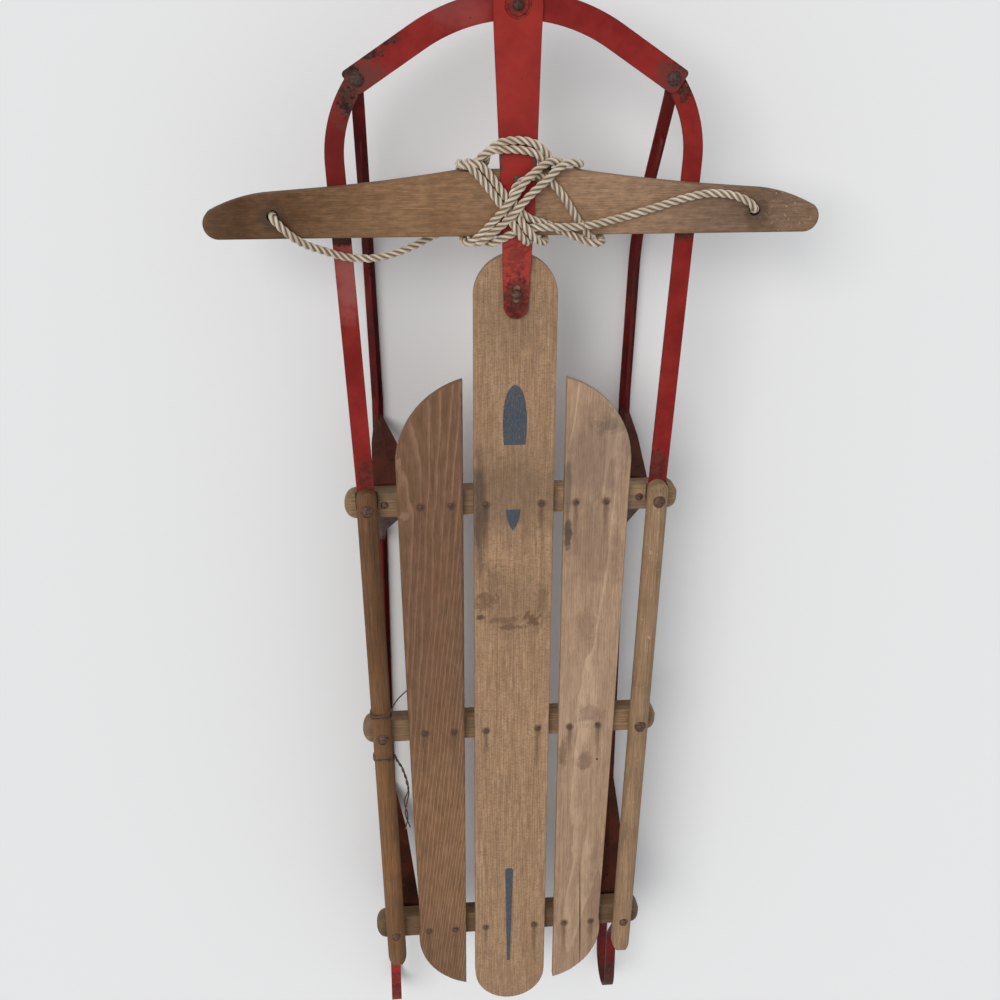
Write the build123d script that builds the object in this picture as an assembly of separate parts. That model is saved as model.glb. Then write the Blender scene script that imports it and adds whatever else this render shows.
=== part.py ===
from build123d import *
import math
import os

# A child's steerable coasting sled: three deck boards on three cross beams, two wooden side rails,
# pressed steel knees on steel runners, and a steel front frame that a wooden bar steers.
# Millimetres. X is to the right, Y is forward, Z is up, and the runners stand on Z = 0.
# The front frame is a linkage: the strap swings on its deck bolt, the bumper on the strap's tip,
# the side arms on the front rail bolts, and the runner noses bend from the front knees.

# The whole sled, from the safety loops to the strap's tip
LENGTH = 1318.1
FRONT_END_Y = LENGTH / 2
REAR_END_Y = -LENGTH / 2

# Cross beams
BEAM_TOP = 127.5
BEAM_DEPTH = 22.5
BEAM_WIDTH = 29.5
BEAM_EDGE = 1.0
BEAM_END_ROUND = 9.0
FRONT_BEAM_Y = 116.0
REAR_BEAM_INSET = 193.0
REAR_BEAM_Y = REAR_END_Y + REAR_BEAM_INSET
MIDDLE_BEAM_Y = (FRONT_BEAM_Y + REAR_BEAM_Y) / 2
BEAM_FOOT = BEAM_TOP - BEAM_DEPTH
# name, place along the sled, half length
BEAMS = [
    ("front", FRONT_BEAM_Y, 187.5),
    ("middle", MIDDLE_BEAM_Y, 177.0),
    ("rear", REAR_BEAM_Y, 169.5),
]

# Deck boards
BOARD_THICK = 9.5
BOARD_EDGE = 1.2
CENTER_WIDTH = 88.9
CENTER_FRONT_Y = 395.4
CENTER_REAR_INSET = 75.8
BOARD_GAP = 12.0
SIDE_FRONT_Y = 260.3
SIDE_REAR_INSET = 105.0
SHOULDER_BULGE = (105.0, 230.0)
SHOULDER_Y = 156.0
SHOULDER_X = 130.0
WAIST_X = 123.3
HIP_X = 114.5
HIP_LEAD = 4.0
HIP_BULGE_X = 98.5
HIP_BULGE_LAG = 61.0
CENTER_REAR_Y = REAR_END_Y + CENTER_REAR_INSET
SIDE_REAR_Y = REAR_END_Y + SIDE_REAR_INSET
SHOULDER = (SHOULDER_X, SHOULDER_Y)
HIP = (HIP_X, REAR_BEAM_Y + HIP_LEAD)
HIP_BULGE = (HIP_BULGE_X, REAR_BEAM_Y - HIP_BULGE_LAG)
WAIST = (WAIST_X, (SHOULDER_Y + REAR_BEAM_Y + HIP_LEAD) / 2)
DECK_TOP = BEAM_TOP + BOARD_THICK
SIDE_INNER_X = CENTER_WIDTH / 2 + BOARD_GAP

# Side rails
RAIL_WIDTH = 23.0
RAIL_DEPTH = 18.0
RAIL_FRONT_X = 162.5
RAIL_REAR_X = 145.6
RAIL_FRONT_OVERHANG = 21.0
RAIL_REAR_OVERHANG = 47.0
RAIL_NOSE_ROUND = 5.0
RAIL_FOOT_EDGE = 2.5
RAIL_TOP = BEAM_TOP + RAIL_DEPTH

# Bolts
BOLT_SHANK = 6.0
SHANK_CLEARANCE = 0.4
RAIL_HEAD = 14.0
REAR_RAIL_HEAD = 11.0
RAIL_HEAD_DOME = 3.2
RAIL_HEAD_SEAT = 1.4
BEAM_HEAD = 9.0
BEAM_HEAD_DOME = 2.6
NUT_WIDTH = 10.0
NUT_DEPTH = 4.5
KNEE_BOLT_X = 143.0

# Runners
RUNNER_X = 147.0
RUNNER_WIDTH = 13.0
RUNNER_THICK = 3.2
WEB_THICK = 3.0
WEB_DEPTH = 12.0
WEB_RAMP = 14.0
LOOP_RADIUS = 33.0
LOOP_RETURN = 52.0
LOOP_SEAT = 34.0
LOOP_BEND = 22.0
LOOP_LAP = 20.0
NOSE_JOINT_Y = 198.0
NOSE_GAP = 0.8
NOSE_SLOPE = 36.0
NOSE_SWEEP_RADIUS = 125.0
NOSE_TOP_RADIUS = 16.0
NOSE_FLAT = 10.0
LOOP_CENTER_Y = REAR_END_Y + LOOP_RADIUS
LOOP_SEAT_Y = REAR_BEAM_Y - LOOP_SEAT
LOOP_RETURN_Y = LOOP_SEAT_Y - LOOP_RETURN
WEB_REAR_Y = LOOP_CENTER_Y + LOOP_RADIUS

# Knees
KNEE_X = 135.0
KNEE_WIDTH = 42.0
KNEE_SHEET = 2.0
KNEE_WALL = 2.6
KNEE_CREASE = 3.0
KNEE_FOOT_WIDTH = 8.0
KNEE_FOOT_CREASE = 4.0
SLIT_CLEARANCE = 0.15
# Where a leg has narrowed: share of the way from runner to saddle, width, share of the knee's height
WIDE_WAIST = (0.5, 29.0, 0.42)
LOW_WAIST = (0.12, 8.5, 0.36)
# name, beam, reach and waist of the front leg, the same of the rear leg, bolt, depth packed above
KNEES = [
    ("front", FRONT_BEAM_Y, 66.0, WIDE_WAIST, 97.0, LOW_WAIST, KNEE_BOLT_X, 0.0),
    ("rear", REAR_BEAM_Y, 140.0, WIDE_WAIST, 66.0, WIDE_WAIST, RAIL_REAR_X, RUNNER_THICK),
]

# Steel front frame
LAYER_GAP = 0.3
ARM_WIDTH = 19.5
ARM_THICK = 4.5
ARM_BEND = 124.7
ARM_WIDEST_X = 182.3
RIVET_X = 157.6
BUMPER_WIDTH = 27.0
BUMPER_THICK = 4.0
BUMPER_ANGLE = 33.3
BUMPER_BEND = 178.0
BUMPER_LAP = 9.5
BUMPER_INNER_CORNER = 8.0
BUMPER_OUTER_CORNER = 4.0
RIVET_SHANK = 7.0
RIVET_PLAY = 2.0
RIVET_HEAD = 15.0
RIVET_DOME = 3.4
RIVET_FOOT = 11.0
NOTCH_PLAY = 2.6
ARM_TOP = BEAM_TOP - LAYER_GAP
ARM_FOOT = ARM_TOP - ARM_THICK
NOSE_TOP = ARM_FOOT - LAYER_GAP
BUMPER_TOP = BEAM_TOP + BUMPER_THICK
STRAP_FRONT_RADIUS = 24.5
PIVOT_Y = FRONT_END_Y - STRAP_FRONT_RADIUS
BUMPER_APEX_Y = PIVOT_Y + BUMPER_BEND * (1 / math.cos(math.radians(BUMPER_ANGLE)) - 1)
RIVET_Y = BUMPER_APEX_Y - RIVET_X * math.tan(math.radians(BUMPER_ANGLE))
WEB_TIP = 61.0
WEB_FRONT_Y = RIVET_Y - WEB_TIP

# Steering bar
BAR_THICK = 18.5
BAR_EDGE = 3.0
BAR_REAR_Y = 414.6
BAR_HALF = 314.7
BAR_CREST_WIDTH = 65.5
# Along the right half of its front edge: how far out, and how far ahead of the rear edge
BAR_CREST_END = (60.0, 64.9)
BAR_HOLLOW = (125.0, 56.0)
BAR_WING = (190.0, 49.3)
# Its drooped tip: how far in from the bar's end, and how far ahead of the rear edge
BAR_DROOP_INSET = 60.0
BAR_DROOP_RISE = 44.6
BAR_DROOP_MIDDLE_INSET = 30.0
BAR_DROOP_MIDDLE_RISE = 37.9
# The tip's circle runs into the rear edge, and meets the droop at this turn from level
BAR_TIP_RADIUS = 15.5
BAR_SHOULDER_TURN = math.radians(52.0)
ROPE_HOLE_X = 245.4
ROPE_HOLE_Y = 438.0
ROPE_HOLE = 12.0
BAR_TOP = BEAM_TOP + BAR_THICK
BAR_CREST_Y = BAR_REAR_Y + BAR_CREST_WIDTH
BAR_DROOP_START = (BAR_HALF - BAR_DROOP_INSET, BAR_DROOP_RISE)
BAR_DROOP = (BAR_HALF - BAR_DROOP_MIDDLE_INSET, BAR_DROOP_MIDDLE_RISE)
BAR_TIP_X = BAR_HALF - BAR_TIP_RADIUS
BAR_SHOULDER_X = BAR_TIP_X + BAR_TIP_RADIUS * math.cos(BAR_SHOULDER_TURN)
BAR_SHOULDER = (BAR_SHOULDER_X, BAR_TIP_RADIUS * (1 + math.sin(BAR_SHOULDER_TURN)))
BAR_TIP = (BAR_HALF, BAR_TIP_RADIUS)
BAR_HEEL_END = (BAR_TIP_X, 0.0)

# Steering strap
STRAP_THICK = 3.2
STRAP_BOLT_Y = 353.2
STRAP_REAR_RADIUS = 12.8
STRAP_REAR_Y = 327.0
STRAP_BEND_Y = 373.5
STRAP_RISE_LEAD = 3.8
STRAP_FALL_LAG = 3.7
STRAP_LAP = 31.6
STRAP_RISE_Y = BAR_REAR_Y - STRAP_RISE_LEAD
STRAP_FALL_Y = BAR_CREST_Y + STRAP_FALL_LAG
STRAP_LAND_Y = PIVOT_Y - STRAP_LAP
STRAP_BEND_RADIUS = 8.0
SLOT_LENGTH = 20.0
SLOT_WIDTH = 8.5
DISH_RADIUS = 11.5
DISH_GROOVE = 1.4
PIVOT_HEAD = 11.0
PIVOT_DOME = 4.6
BAR_RIVET_LAG = 9.3
BAR_RIVET_LEAD = 18.2
BAR_RIVET_Y = BAR_CREST_Y - BAR_RIVET_LAG
BAR_RIVET_REAR_Y = BAR_REAR_Y + BAR_RIVET_LEAD
BAR_RIVET_HEAD = 10.0

# Tow rope
ROPE = 8.4
KNOT_WIDTH = 24.0
KNOT_DEPTH = 20.0
KNOT_ROUND = 8.0
# The lashing's sleeve, corner by corner: it is wider behind the bar than ahead of it
LASH_REAR_Y = 405.5
LASH_FRONT_Y = 489.5
LASH_REAR_LEFT_X = -56.0
LASH_REAR_RIGHT_X = 90.0
LASH_FRONT_LEFT_X = -56.0
LASH_FRONT_RIGHT_X = 68.0
LASH_FOOT = 106.0
LASH_TOP = 157.5
LASH_ROUND = 4.0
LASH_CROWN = (62.0, 66.0)
LASH_CROWN_X = 3.0
LASH_CROWN_TOP = 171.0
LASH_CROWN_ROUND = 8.0
LASH_LOOP = (72.0, 30.0)
LASH_LOOP_Y = 495.5
LASH_LOOP_ROUND = 3.0
RUN_SHARE = 0.45
ROPE_RISE = 153.5
# The rope leaves its hole upwards, falls over the bar's rear edge, hangs across the left arm and
# goes in under the bar. On the right it lies along the bar's top. Both ends lie in the lashing.
ROPE_LEFT = [
    (-ROPE_HOLE_X, ROPE_HOLE_Y, BEAM_TOP),
    (-ROPE_HOLE_X, ROPE_HOLE_Y, ROPE_RISE),
    (-233.0, 418.0, 155.5),
    (-211.0, 401.8, 145.5),
    (-188.0, 394.0, 138.5),
    (-164.0, 391.0, 135.0),
    (-139.0, 392.0, 131.0),
    (-116.0, 397.0, 125.0),
    (-95.0, 403.5, 120.0),
    (-73.0, 412.0, 116.0),
    (-48.0, 423.0, 116.0),
]
ROPE_RIGHT = [
    (ROPE_HOLE_X, ROPE_HOLE_Y, BEAM_TOP),
    (ROPE_HOLE_X, ROPE_HOLE_Y, ROPE_RISE),
    (222.0, 452.0, 154.5),
    (194.0, 457.5, 152.0),
    (165.0, 451.5, 151.8),
    (134.5, 441.5, 152.0),
    (104.0, 433.0, 151.8),
    (80.0, 427.0, 152.2),
    (58.0, 424.5, 152.0),
]


def both_sides(shape):
    """The piece as built on the right, and its mirror image for the left."""
    return {"right": shape, "left": mirror(shape, about=Plane.YZ)}


def dome(width, height, z):
    """A low domed head that sits on the height z."""
    half = width / 2
    drop = (half * half + height * height) / (2 * height)
    ball = Pos(0, 0, z + height - drop) * Sphere(drop)
    keep = Pos(0, 0, z) * Cylinder(half, 2 * height, align=(Align.CENTER, Align.CENTER, Align.MIN))
    return ball & keep


def shank(width, low, high):
    return Pos(0, 0, low) * Cylinder(width / 2, high - low, align=(Align.CENTER, Align.CENTER, Align.MIN))


def nut(top):
    hexagon = RegularPolygon(NUT_WIDTH / 2, 6, major_radius=False)
    return Pos(0, 0, top - NUT_DEPTH) * extrude(hexagon, NUT_DEPTH)


def hole(x, y, width, low=0.0, high=DECK_TOP * 2):
    return Pos(x, y, 0) * shank(width, low, high)


def plate(outline, low, thick):
    return Pos(0, 0, low) * extrude(outline, thick)


def rail_x(y):
    """Middle of the right rail at the place y along the sled."""
    share = (FRONT_BEAM_Y - y) / (FRONT_BEAM_Y - REAR_BEAM_Y)
    return RAIL_FRONT_X + share * (RAIL_REAR_X - RAIL_FRONT_X)


# Deck boards and beams

def center_board():
    length = CENTER_FRONT_Y - CENTER_REAR_Y
    middle = (CENTER_FRONT_Y + CENTER_REAR_Y) / 2
    outline = Pos(0, middle) * SlotOverall(length, CENTER_WIDTH, rotation=90)
    board = plate(outline, BEAM_TOP, BOARD_THICK)
    board = fillet(board.faces().sort_by(Axis.Z)[-1].edges(), BOARD_EDGE)
    return board - hole(0, STRAP_BOLT_Y, BOLT_SHANK + SHANK_CLEARANCE)


def side_board():
    front = (SIDE_INNER_X, SIDE_FRONT_Y)
    rear = (SIDE_INNER_X, SIDE_REAR_Y)
    edge = Line(rear, front)
    edge += ThreePointArc(front, SHOULDER_BULGE, SHOULDER)
    edge += ThreePointArc(SHOULDER, WAIST, HIP)
    edge += ThreePointArc(HIP, HIP_BULGE, rear)
    board = plate(make_face(edge), BEAM_TOP, BOARD_THICK)
    return fillet(board.faces().sort_by(Axis.Z)[-1].edges(), BOARD_EDGE)


def arm_notch():
    """Room in the front beam's top for the side arm's end, which swings in it."""
    room = ARM_WIDTH / 2 + NOTCH_PLAY
    shape = Circle(room) + Pos(0, BEAM_WIDTH / 2) * Rectangle(2 * room, BEAM_WIDTH)
    return Pos(RAIL_FRONT_X, FRONT_BEAM_Y) * plate(shape, ARM_FOOT - LAYER_GAP, BEAM_DEPTH)


def beam(name, y, half):
    outline = Pos(0, y) * SlotOverall(2 * half, BEAM_WIDTH)
    body = plate(outline, BEAM_FOOT, BEAM_DEPTH)
    body = fillet(body.edges().filter_by(Plane.XY), BEAM_EDGE)
    side_view = Pos(0, BEAM_FOOT + BEAM_DEPTH / 2) * RectangleRounded(2 * half, BEAM_DEPTH, BEAM_END_ROUND)
    body &= Pos(0, y, 0) * extrude(Plane.XZ * side_view, BEAM_WIDTH, both=True)
    for side in (-1, 1):
        body -= hole(side * rail_x(y), y, BOLT_SHANK + SHANK_CLEARANCE)
    if name == "front":
        for notch in both_sides(arm_notch()).values():
            body -= notch
        for side in (-1, 1):
            body -= hole(side * KNEE_BOLT_X, y, BOLT_SHANK + SHANK_CLEARANCE)
    return body


# Side rails

def rail():
    front_y = FRONT_BEAM_Y + RAIL_FRONT_OVERHANG
    rear_y = REAR_BEAM_Y - RAIL_REAR_OVERHANG
    run = front_y - rear_y
    lean = math.degrees(math.atan2(rail_x(front_y) - rail_x(rear_y), run))
    length = run / math.cos(math.radians(lean))
    half = RAIL_WIDTH / 2
    wall = RAIL_DEPTH - half
    edge = Polyline((half, wall), (half, 0), (-half, 0), (-half, wall))
    section = make_face(edge + ThreePointArc((-half, wall), (0, RAIL_DEPTH), (half, wall)))
    section = fillet(section.vertices().group_by(Axis.Y)[0], RAIL_FOOT_EDGE)
    bar = extrude(Plane.XZ * section, length / 2, both=True)
    bar &= extrude(SlotOverall(length, RAIL_WIDTH, rotation=90), RAIL_DEPTH)
    side = Pos(0, RAIL_DEPTH / 2) * Rectangle(length, RAIL_DEPTH)
    side = fillet(side.vertices().group_by(Axis.Y)[-1], RAIL_NOSE_ROUND)
    bar &= extrude(Plane.YZ * side, RAIL_WIDTH, both=True)
    middle_y = (front_y + rear_y) / 2
    bar = Pos(rail_x(middle_y), middle_y, BEAM_TOP) * Rot(0, 0, -lean) * bar
    for name, y, beam_half in BEAMS:
        bar -= hole(rail_x(y), y, BOLT_SHANK + SHANK_CLEARANCE)
        bar -= hole(rail_x(y), y, rail_head(name) + SHANK_CLEARANCE, low=RAIL_TOP - RAIL_HEAD_SEAT)
    return bar


def rail_head(name):
    """Width of the bolt head over the beam of that name."""
    return REAR_RAIL_HEAD if name == "rear" else RAIL_HEAD


def rail_bolts():
    """Three carriage bolts through rail and beam, the rear one through knee and runner too."""
    bolts = []
    for name, y, beam_half in BEAMS:
        foot = BEAM_FOOT
        if name == "rear":
            foot -= KNEE_SHEET + RUNNER_THICK
        body = shank(BOLT_SHANK, foot - NUT_DEPTH, RAIL_TOP - RAIL_HEAD_SEAT)
        body += dome(rail_head(name), RAIL_HEAD_DOME, RAIL_TOP - RAIL_HEAD_SEAT)
        body += nut(foot)
        bolts.append(Pos(rail_x(y), y, 0) * body)
    return Compound(children=bolts)


def knee_bolt():
    """The short bolt that holds the front knee under its beam."""
    body = shank(BOLT_SHANK, BEAM_FOOT - KNEE_SHEET - NUT_DEPTH, BEAM_TOP)
    body += dome(BEAM_HEAD, BEAM_HEAD_DOME, BEAM_TOP)
    body += nut(BEAM_FOOT - KNEE_SHEET)
    return Pos(KNEE_BOLT_X, FRONT_BEAM_Y, 0) * body


# Runners

def swept_bar(path, width, thick):
    """Flat bar whose middle follows the path, which lies in the plane across X."""
    lay = Plane(origin=path @ 0, x_dir=(1, 0, 0), z_dir=path % 0)
    return sweep(lay * Rectangle(width, thick), path=path)


def runner():
    """The ground run and the safety loop that turns up and over to the rear beam."""
    front = NOSE_JOINT_Y - NOSE_GAP / 2
    low = RUNNER_THICK / 2
    bend = LOOP_RADIUS - low
    top = LOOP_RADIUS + bend
    seat = BEAM_FOOT - low
    with BuildLine(Plane.YZ) as line:
        Line((front, low), (LOOP_CENTER_Y, low))
        CenterArc((LOOP_CENTER_Y, LOOP_RADIUS), bend, 270, -180)
        FilletPolyline(
            (LOOP_CENTER_Y, top),
            (LOOP_RETURN_Y, top),
            (LOOP_SEAT_Y, seat),
            (REAR_BEAM_Y + LOOP_LAP / 2, seat),
            radius=LOOP_BEND,
        )
    strip = swept_bar(line.wire(), RUNNER_WIDTH, RUNNER_THICK)
    rib_top = RUNNER_THICK + WEB_DEPTH
    rib_points = [
        (WEB_REAR_Y, RUNNER_THICK),
        (front, RUNNER_THICK),
        (front, rib_top),
        (WEB_REAR_Y + WEB_RAMP, rib_top),
    ]
    rib = extrude(Plane.YZ * make_face(Polyline(*rib_points, close=True)), WEB_THICK / 2, both=True)
    body = Pos(RUNNER_X, 0, 0) * (strip + rib)
    # The bolt goes through the loop's seat alone, well above the rib and the ground run.
    return body - hole(RAIL_REAR_X, REAR_BEAM_Y, BOLT_SHANK + SHANK_CLEARANCE, low=seat - RUNNER_WIDTH)


def runner_nose():
    """The runner's front: it sweeps up to a flat end under the side arm's rivet."""
    start = NOSE_GAP / 2
    low = RUNNER_THICK / 2
    rise = NOSE_TOP - RUNNER_THICK
    slope = math.radians(NOSE_SLOPE)
    reach = math.hypot(RIVET_X - RUNNER_X, RIVET_Y - NOSE_JOINT_Y)
    turn = math.degrees(math.atan2(RIVET_X - RUNNER_X, RIVET_Y - NOSE_JOINT_Y))
    top_y = reach - NOSE_FLAT - NOSE_TOP_RADIUS * math.tan(slope / 2)
    foot_y = top_y - rise / math.tan(slope)
    with BuildLine(Plane.YZ) as line:
        FilletPolyline(
            (start, low),
            (foot_y, low),
            (top_y, rise + low),
            (reach, rise + low),
            radius=[NOSE_SWEEP_RADIUS, NOSE_TOP_RADIUS],
        )
    body = swept_bar(line.wire(), RUNNER_WIDTH, RUNNER_THICK)
    # The rib stands on the same sweep and stops short of the flat end.
    rib_low = RUNNER_THICK + WEB_DEPTH / 2
    rib_radius = NOSE_SWEEP_RADIUS + low - rib_low
    bend_y = foot_y - NOSE_SWEEP_RADIUS * math.tan(slope / 2)
    rib_run = WEB_FRONT_Y - NOSE_JOINT_Y - bend_y - rib_radius * math.sin(slope)
    with BuildLine(Plane.YZ) as rib_line:
        Line((start, rib_low), (bend_y, rib_low))
        CenterArc((bend_y, rib_low + rib_radius), rib_radius, 270, NOSE_SLOPE)
        PolarLine((bend_y + rib_radius * math.sin(slope), rib_low + rib_radius * (1 - math.cos(slope))),
                  rib_run / math.cos(slope), NOSE_SLOPE)
    body += swept_bar(rib_line.wire(), WEB_THICK, WEB_DEPTH)
    body += Pos(0, reach, rise) * extrude(Circle(RUNNER_WIDTH / 2), RUNNER_THICK)
    body = Pos(RUNNER_X, NOSE_JOINT_Y, 0) * Rot(0, 0, -turn) * body
    return body - hole(RIVET_X, RIVET_Y, RIVET_SHANK + 2 * RIVET_PLAY)


# Knees

def chevron(x, y, z, width, crease, wall):
    """Level cut through a creased sheet: its ridge points to +Y when crease and wall are positive."""
    half = width / 2
    outer = [(-half, 0), (0, crease), (half, 0)]
    inner = [(half, -wall), (0, crease - wall), (-half, -wall)]
    return Pos(x, y, z) * make_face(Polyline(*outer, *inner, close=True))


def knee_leg(beam_y, reach, waist, way, top):
    """One leg from the beam's edge down to the runner, creased along its middle."""
    waist_inset, waist_width, waist_share = waist
    start = BEAM_WIDTH / 2
    rows = [
        (KNEE_X, start, top, KNEE_WIDTH, KNEE_CREASE),
        (
            RUNNER_X + (KNEE_X - RUNNER_X) * waist_inset,
            start + (reach - start) * (1 - waist_share),
            RUNNER_THICK + (top - RUNNER_THICK) * waist_share,
            waist_width,
            (KNEE_CREASE + KNEE_FOOT_CREASE) / 2,
        ),
        (RUNNER_X, reach, RUNNER_THICK, KNEE_FOOT_WIDTH, KNEE_FOOT_CREASE),
    ]
    cuts = []
    for x, out, z, width, crease in rows:
        cuts.append(chevron(x, beam_y + way * out, z, width, way * crease, way * KNEE_WALL))
    return loft(cuts, ruled=True)


def knee(beam_y, front_reach, front_waist, rear_reach, rear_waist, bolt_x, packing):
    top = BEAM_FOOT - packing
    saddle = Pos(KNEE_X, beam_y) * plate(Rectangle(KNEE_WIDTH, BEAM_WIDTH), top - KNEE_SHEET, KNEE_SHEET)
    body = saddle + knee_leg(beam_y, front_reach, front_waist, 1, top)
    body += knee_leg(beam_y, rear_reach, rear_waist, -1, top)
    slit = WEB_THICK + 2 * SLIT_CLEARANCE
    height = WEB_DEPTH + SLIT_CLEARANCE
    length = 2 * (front_reach + rear_reach)
    body -= Pos(RUNNER_X, beam_y) * plate(Rectangle(slit, length), RUNNER_THICK, height)
    return body - hole(bolt_x, beam_y, BOLT_SHANK + SHANK_CLEARANCE)


# Steel front frame

def arm():
    """Flat bar from the rail's front bolt, straight and then bent in to the bumper's rivet."""
    center_x = ARM_WIDEST_X - ARM_BEND
    center_y = RIVET_Y - math.sqrt(ARM_BEND ** 2 - (RIVET_X - center_x) ** 2)
    away = math.hypot(center_x - RAIL_FRONT_X, center_y - FRONT_BEAM_Y)
    sight = math.atan2(center_y - FRONT_BEAM_Y, center_x - RAIL_FRONT_X)
    heading = sight - math.asin(ARM_BEND / away)
    run = math.sqrt(away ** 2 - ARM_BEND ** 2)
    bend_start = (RAIL_FRONT_X + run * math.cos(heading), FRONT_BEAM_Y + run * math.sin(heading))
    bend_from = math.degrees(heading) - 90
    bend_to = math.degrees(math.atan2(RIVET_Y - center_y, RIVET_X - center_x))
    with BuildLine() as line:
        Line((RAIL_FRONT_X, FRONT_BEAM_Y), bend_start)
        CenterArc((center_x, center_y), ARM_BEND, bend_from, bend_to - bend_from)
    outline = trace(line.line, ARM_WIDTH)
    outline += Pos(RAIL_FRONT_X, FRONT_BEAM_Y) * Circle(ARM_WIDTH / 2)
    outline += Pos(RIVET_X, RIVET_Y) * Circle(ARM_WIDTH / 2)
    body = plate(outline, ARM_FOOT, ARM_THICK)
    body -= hole(RAIL_FRONT_X, FRONT_BEAM_Y, BOLT_SHANK + 2 * LAYER_GAP)
    return body - hole(RIVET_X, RIVET_Y, RIVET_SHANK)


def bumper():
    """The bowed flat bar across the front, with a hole at its crest and one over each rivet."""
    lap_x = BUMPER_LAP * math.cos(math.radians(BUMPER_ANGLE))
    lap_y = BUMPER_LAP * math.sin(math.radians(BUMPER_ANGLE))
    with BuildLine() as line:
        FilletPolyline(
            (-RIVET_X - lap_x, RIVET_Y - lap_y),
            (0, BUMPER_APEX_Y),
            (RIVET_X + lap_x, RIVET_Y - lap_y),
            radius=BUMPER_BEND,
        )
    outline = trace(line.line, BUMPER_WIDTH)
    outline = fillet(outline.vertices().group_by(Axis.Y)[0], BUMPER_INNER_CORNER)
    tips = outline.vertices().group_by(Axis.X)
    outline = fillet(tips[0] + tips[-1], BUMPER_OUTER_CORNER)
    body = plate(outline, BEAM_TOP, BUMPER_THICK)
    body -= hole(0, PIVOT_Y, BOLT_SHANK + 2 * LAYER_GAP)
    for side in (-1, 1):
        body -= hole(side * RIVET_X, RIVET_Y, RIVET_SHANK + 2 * RIVET_PLAY)
    return body


def tip_rivet():
    """Rivet of the side arm, with play in the bumper above it and the runner nose below it."""
    head = BUMPER_TOP + LAYER_GAP
    foot = NOSE_TOP - RUNNER_THICK - LAYER_GAP
    body = shank(RIVET_SHANK, foot, head) + dome(RIVET_HEAD, RIVET_DOME, head)
    body += mirror(dome(RIVET_FOOT, RIVET_DOME, -foot), about=Plane.XY)
    return Pos(RIVET_X, RIVET_Y, 0) * body


# Steering strap and bar

def strap_outline(grow=0.0):
    """Plan of the strap: two round ends joined by their tangents."""
    front = Pos(0, PIVOT_Y) * Circle(STRAP_FRONT_RADIUS + grow)
    rear = Pos(0, STRAP_REAR_Y + STRAP_REAR_RADIUS) * Circle(STRAP_REAR_RADIUS + grow)
    return make_hull((front + rear).edges())


def strap_body(grow=0.0):
    """The strap bent over the bar: down to the deck behind it and down to the bumper ahead."""
    deck = DECK_TOP + LAYER_GAP
    bumper_seat = BUMPER_TOP + LAYER_GAP
    reach = PIVOT_Y + 2 * STRAP_FRONT_RADIUS
    start = STRAP_REAR_Y - STRAP_REAR_RADIUS
    under = [
        (start, deck),
        (STRAP_BEND_Y, deck),
        (STRAP_RISE_Y, BAR_TOP),
        (STRAP_FALL_Y, BAR_TOP),
        (STRAP_LAND_Y, bumper_seat),
        (reach, bumper_seat),
    ]
    low = [(y, z - grow) for y, z in under]
    high = [(y, z + STRAP_THICK + grow) for y, z in reversed(under)]
    side = make_face(Polyline(*low, *high, close=True))
    bends = side.vertices().filter_by_position(Axis.X, start + 1, reach - 1)
    if grow == 0:
        side = fillet(bends, STRAP_BEND_RADIUS)
    tall = extrude(Plane.YZ * side, 2 * STRAP_FRONT_RADIUS, both=True)
    return tall & extrude(strap_outline(grow), 2 * BAR_TOP)


def strap():
    body = strap_body()
    slot = Pos(0, STRAP_BOLT_Y) * SlotOverall(SLOT_LENGTH, SLOT_WIDTH, rotation=90)
    body -= extrude(slot, 2 * BAR_TOP)
    body -= hole(0, PIVOT_Y, BOLT_SHANK)
    for y in (BAR_RIVET_REAR_Y, BAR_RIVET_Y):
        body -= hole(0, y, BOLT_SHANK)
    top = BUMPER_TOP + LAYER_GAP + STRAP_THICK
    return body - Pos(0, PIVOT_Y, top) * Torus(DISH_RADIUS, DISH_GROOVE)


def strap_bolt():
    """Bolt through the deck board's tip, with its head over the strap's slot."""
    head = DECK_TOP + STRAP_THICK + 2 * LAYER_GAP
    body = shank(BOLT_SHANK, BEAM_TOP - NUT_DEPTH, head) + dome(PIVOT_HEAD, PIVOT_DOME, head)
    return Pos(0, STRAP_BOLT_Y, 0) * (body + nut(BEAM_TOP))


def front_pivot():
    """Rivet that joins the strap's tip to the bumper's crest."""
    head = BUMPER_TOP + LAYER_GAP + STRAP_THICK
    foot = BEAM_TOP - LAYER_GAP
    body = shank(BOLT_SHANK, foot, head) + dome(PIVOT_HEAD, PIVOT_DOME, head)
    body += mirror(dome(PIVOT_HEAD, PIVOT_DOME, -foot), about=Plane.XY)
    return Pos(0, PIVOT_Y, 0) * body


def steering_bar():
    """Wooden bar: straight behind, crowned in front, with drooped round tips and two rope holes."""
    crest = (0, BAR_CREST_WIDTH)
    edge = Line(crest, BAR_CREST_END)
    edge += ThreePointArc(BAR_CREST_END, BAR_HOLLOW, BAR_WING)
    edge += Line(BAR_WING, BAR_DROOP_START)
    edge += ThreePointArc(BAR_DROOP_START, BAR_DROOP, BAR_SHOULDER)
    edge += ThreePointArc(BAR_SHOULDER, BAR_TIP, BAR_HEEL_END)
    edge += Polyline(BAR_HEEL_END, (0, 0), crest)
    half = make_face(edge)
    outline = half + mirror(half, about=Plane.YZ)
    body = plate(Pos(0, BAR_REAR_Y) * outline, BEAM_TOP, BAR_THICK)
    body = fillet(body.edges().filter_by(Plane.XY), BAR_EDGE)
    for side in (-1, 1):
        body -= hole(side * ROPE_HOLE_X, ROPE_HOLE_Y, ROPE_HOLE)
    for y in (BAR_RIVET_REAR_Y, BAR_RIVET_Y):
        body -= hole(0, y, BOLT_SHANK)
    return body


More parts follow.
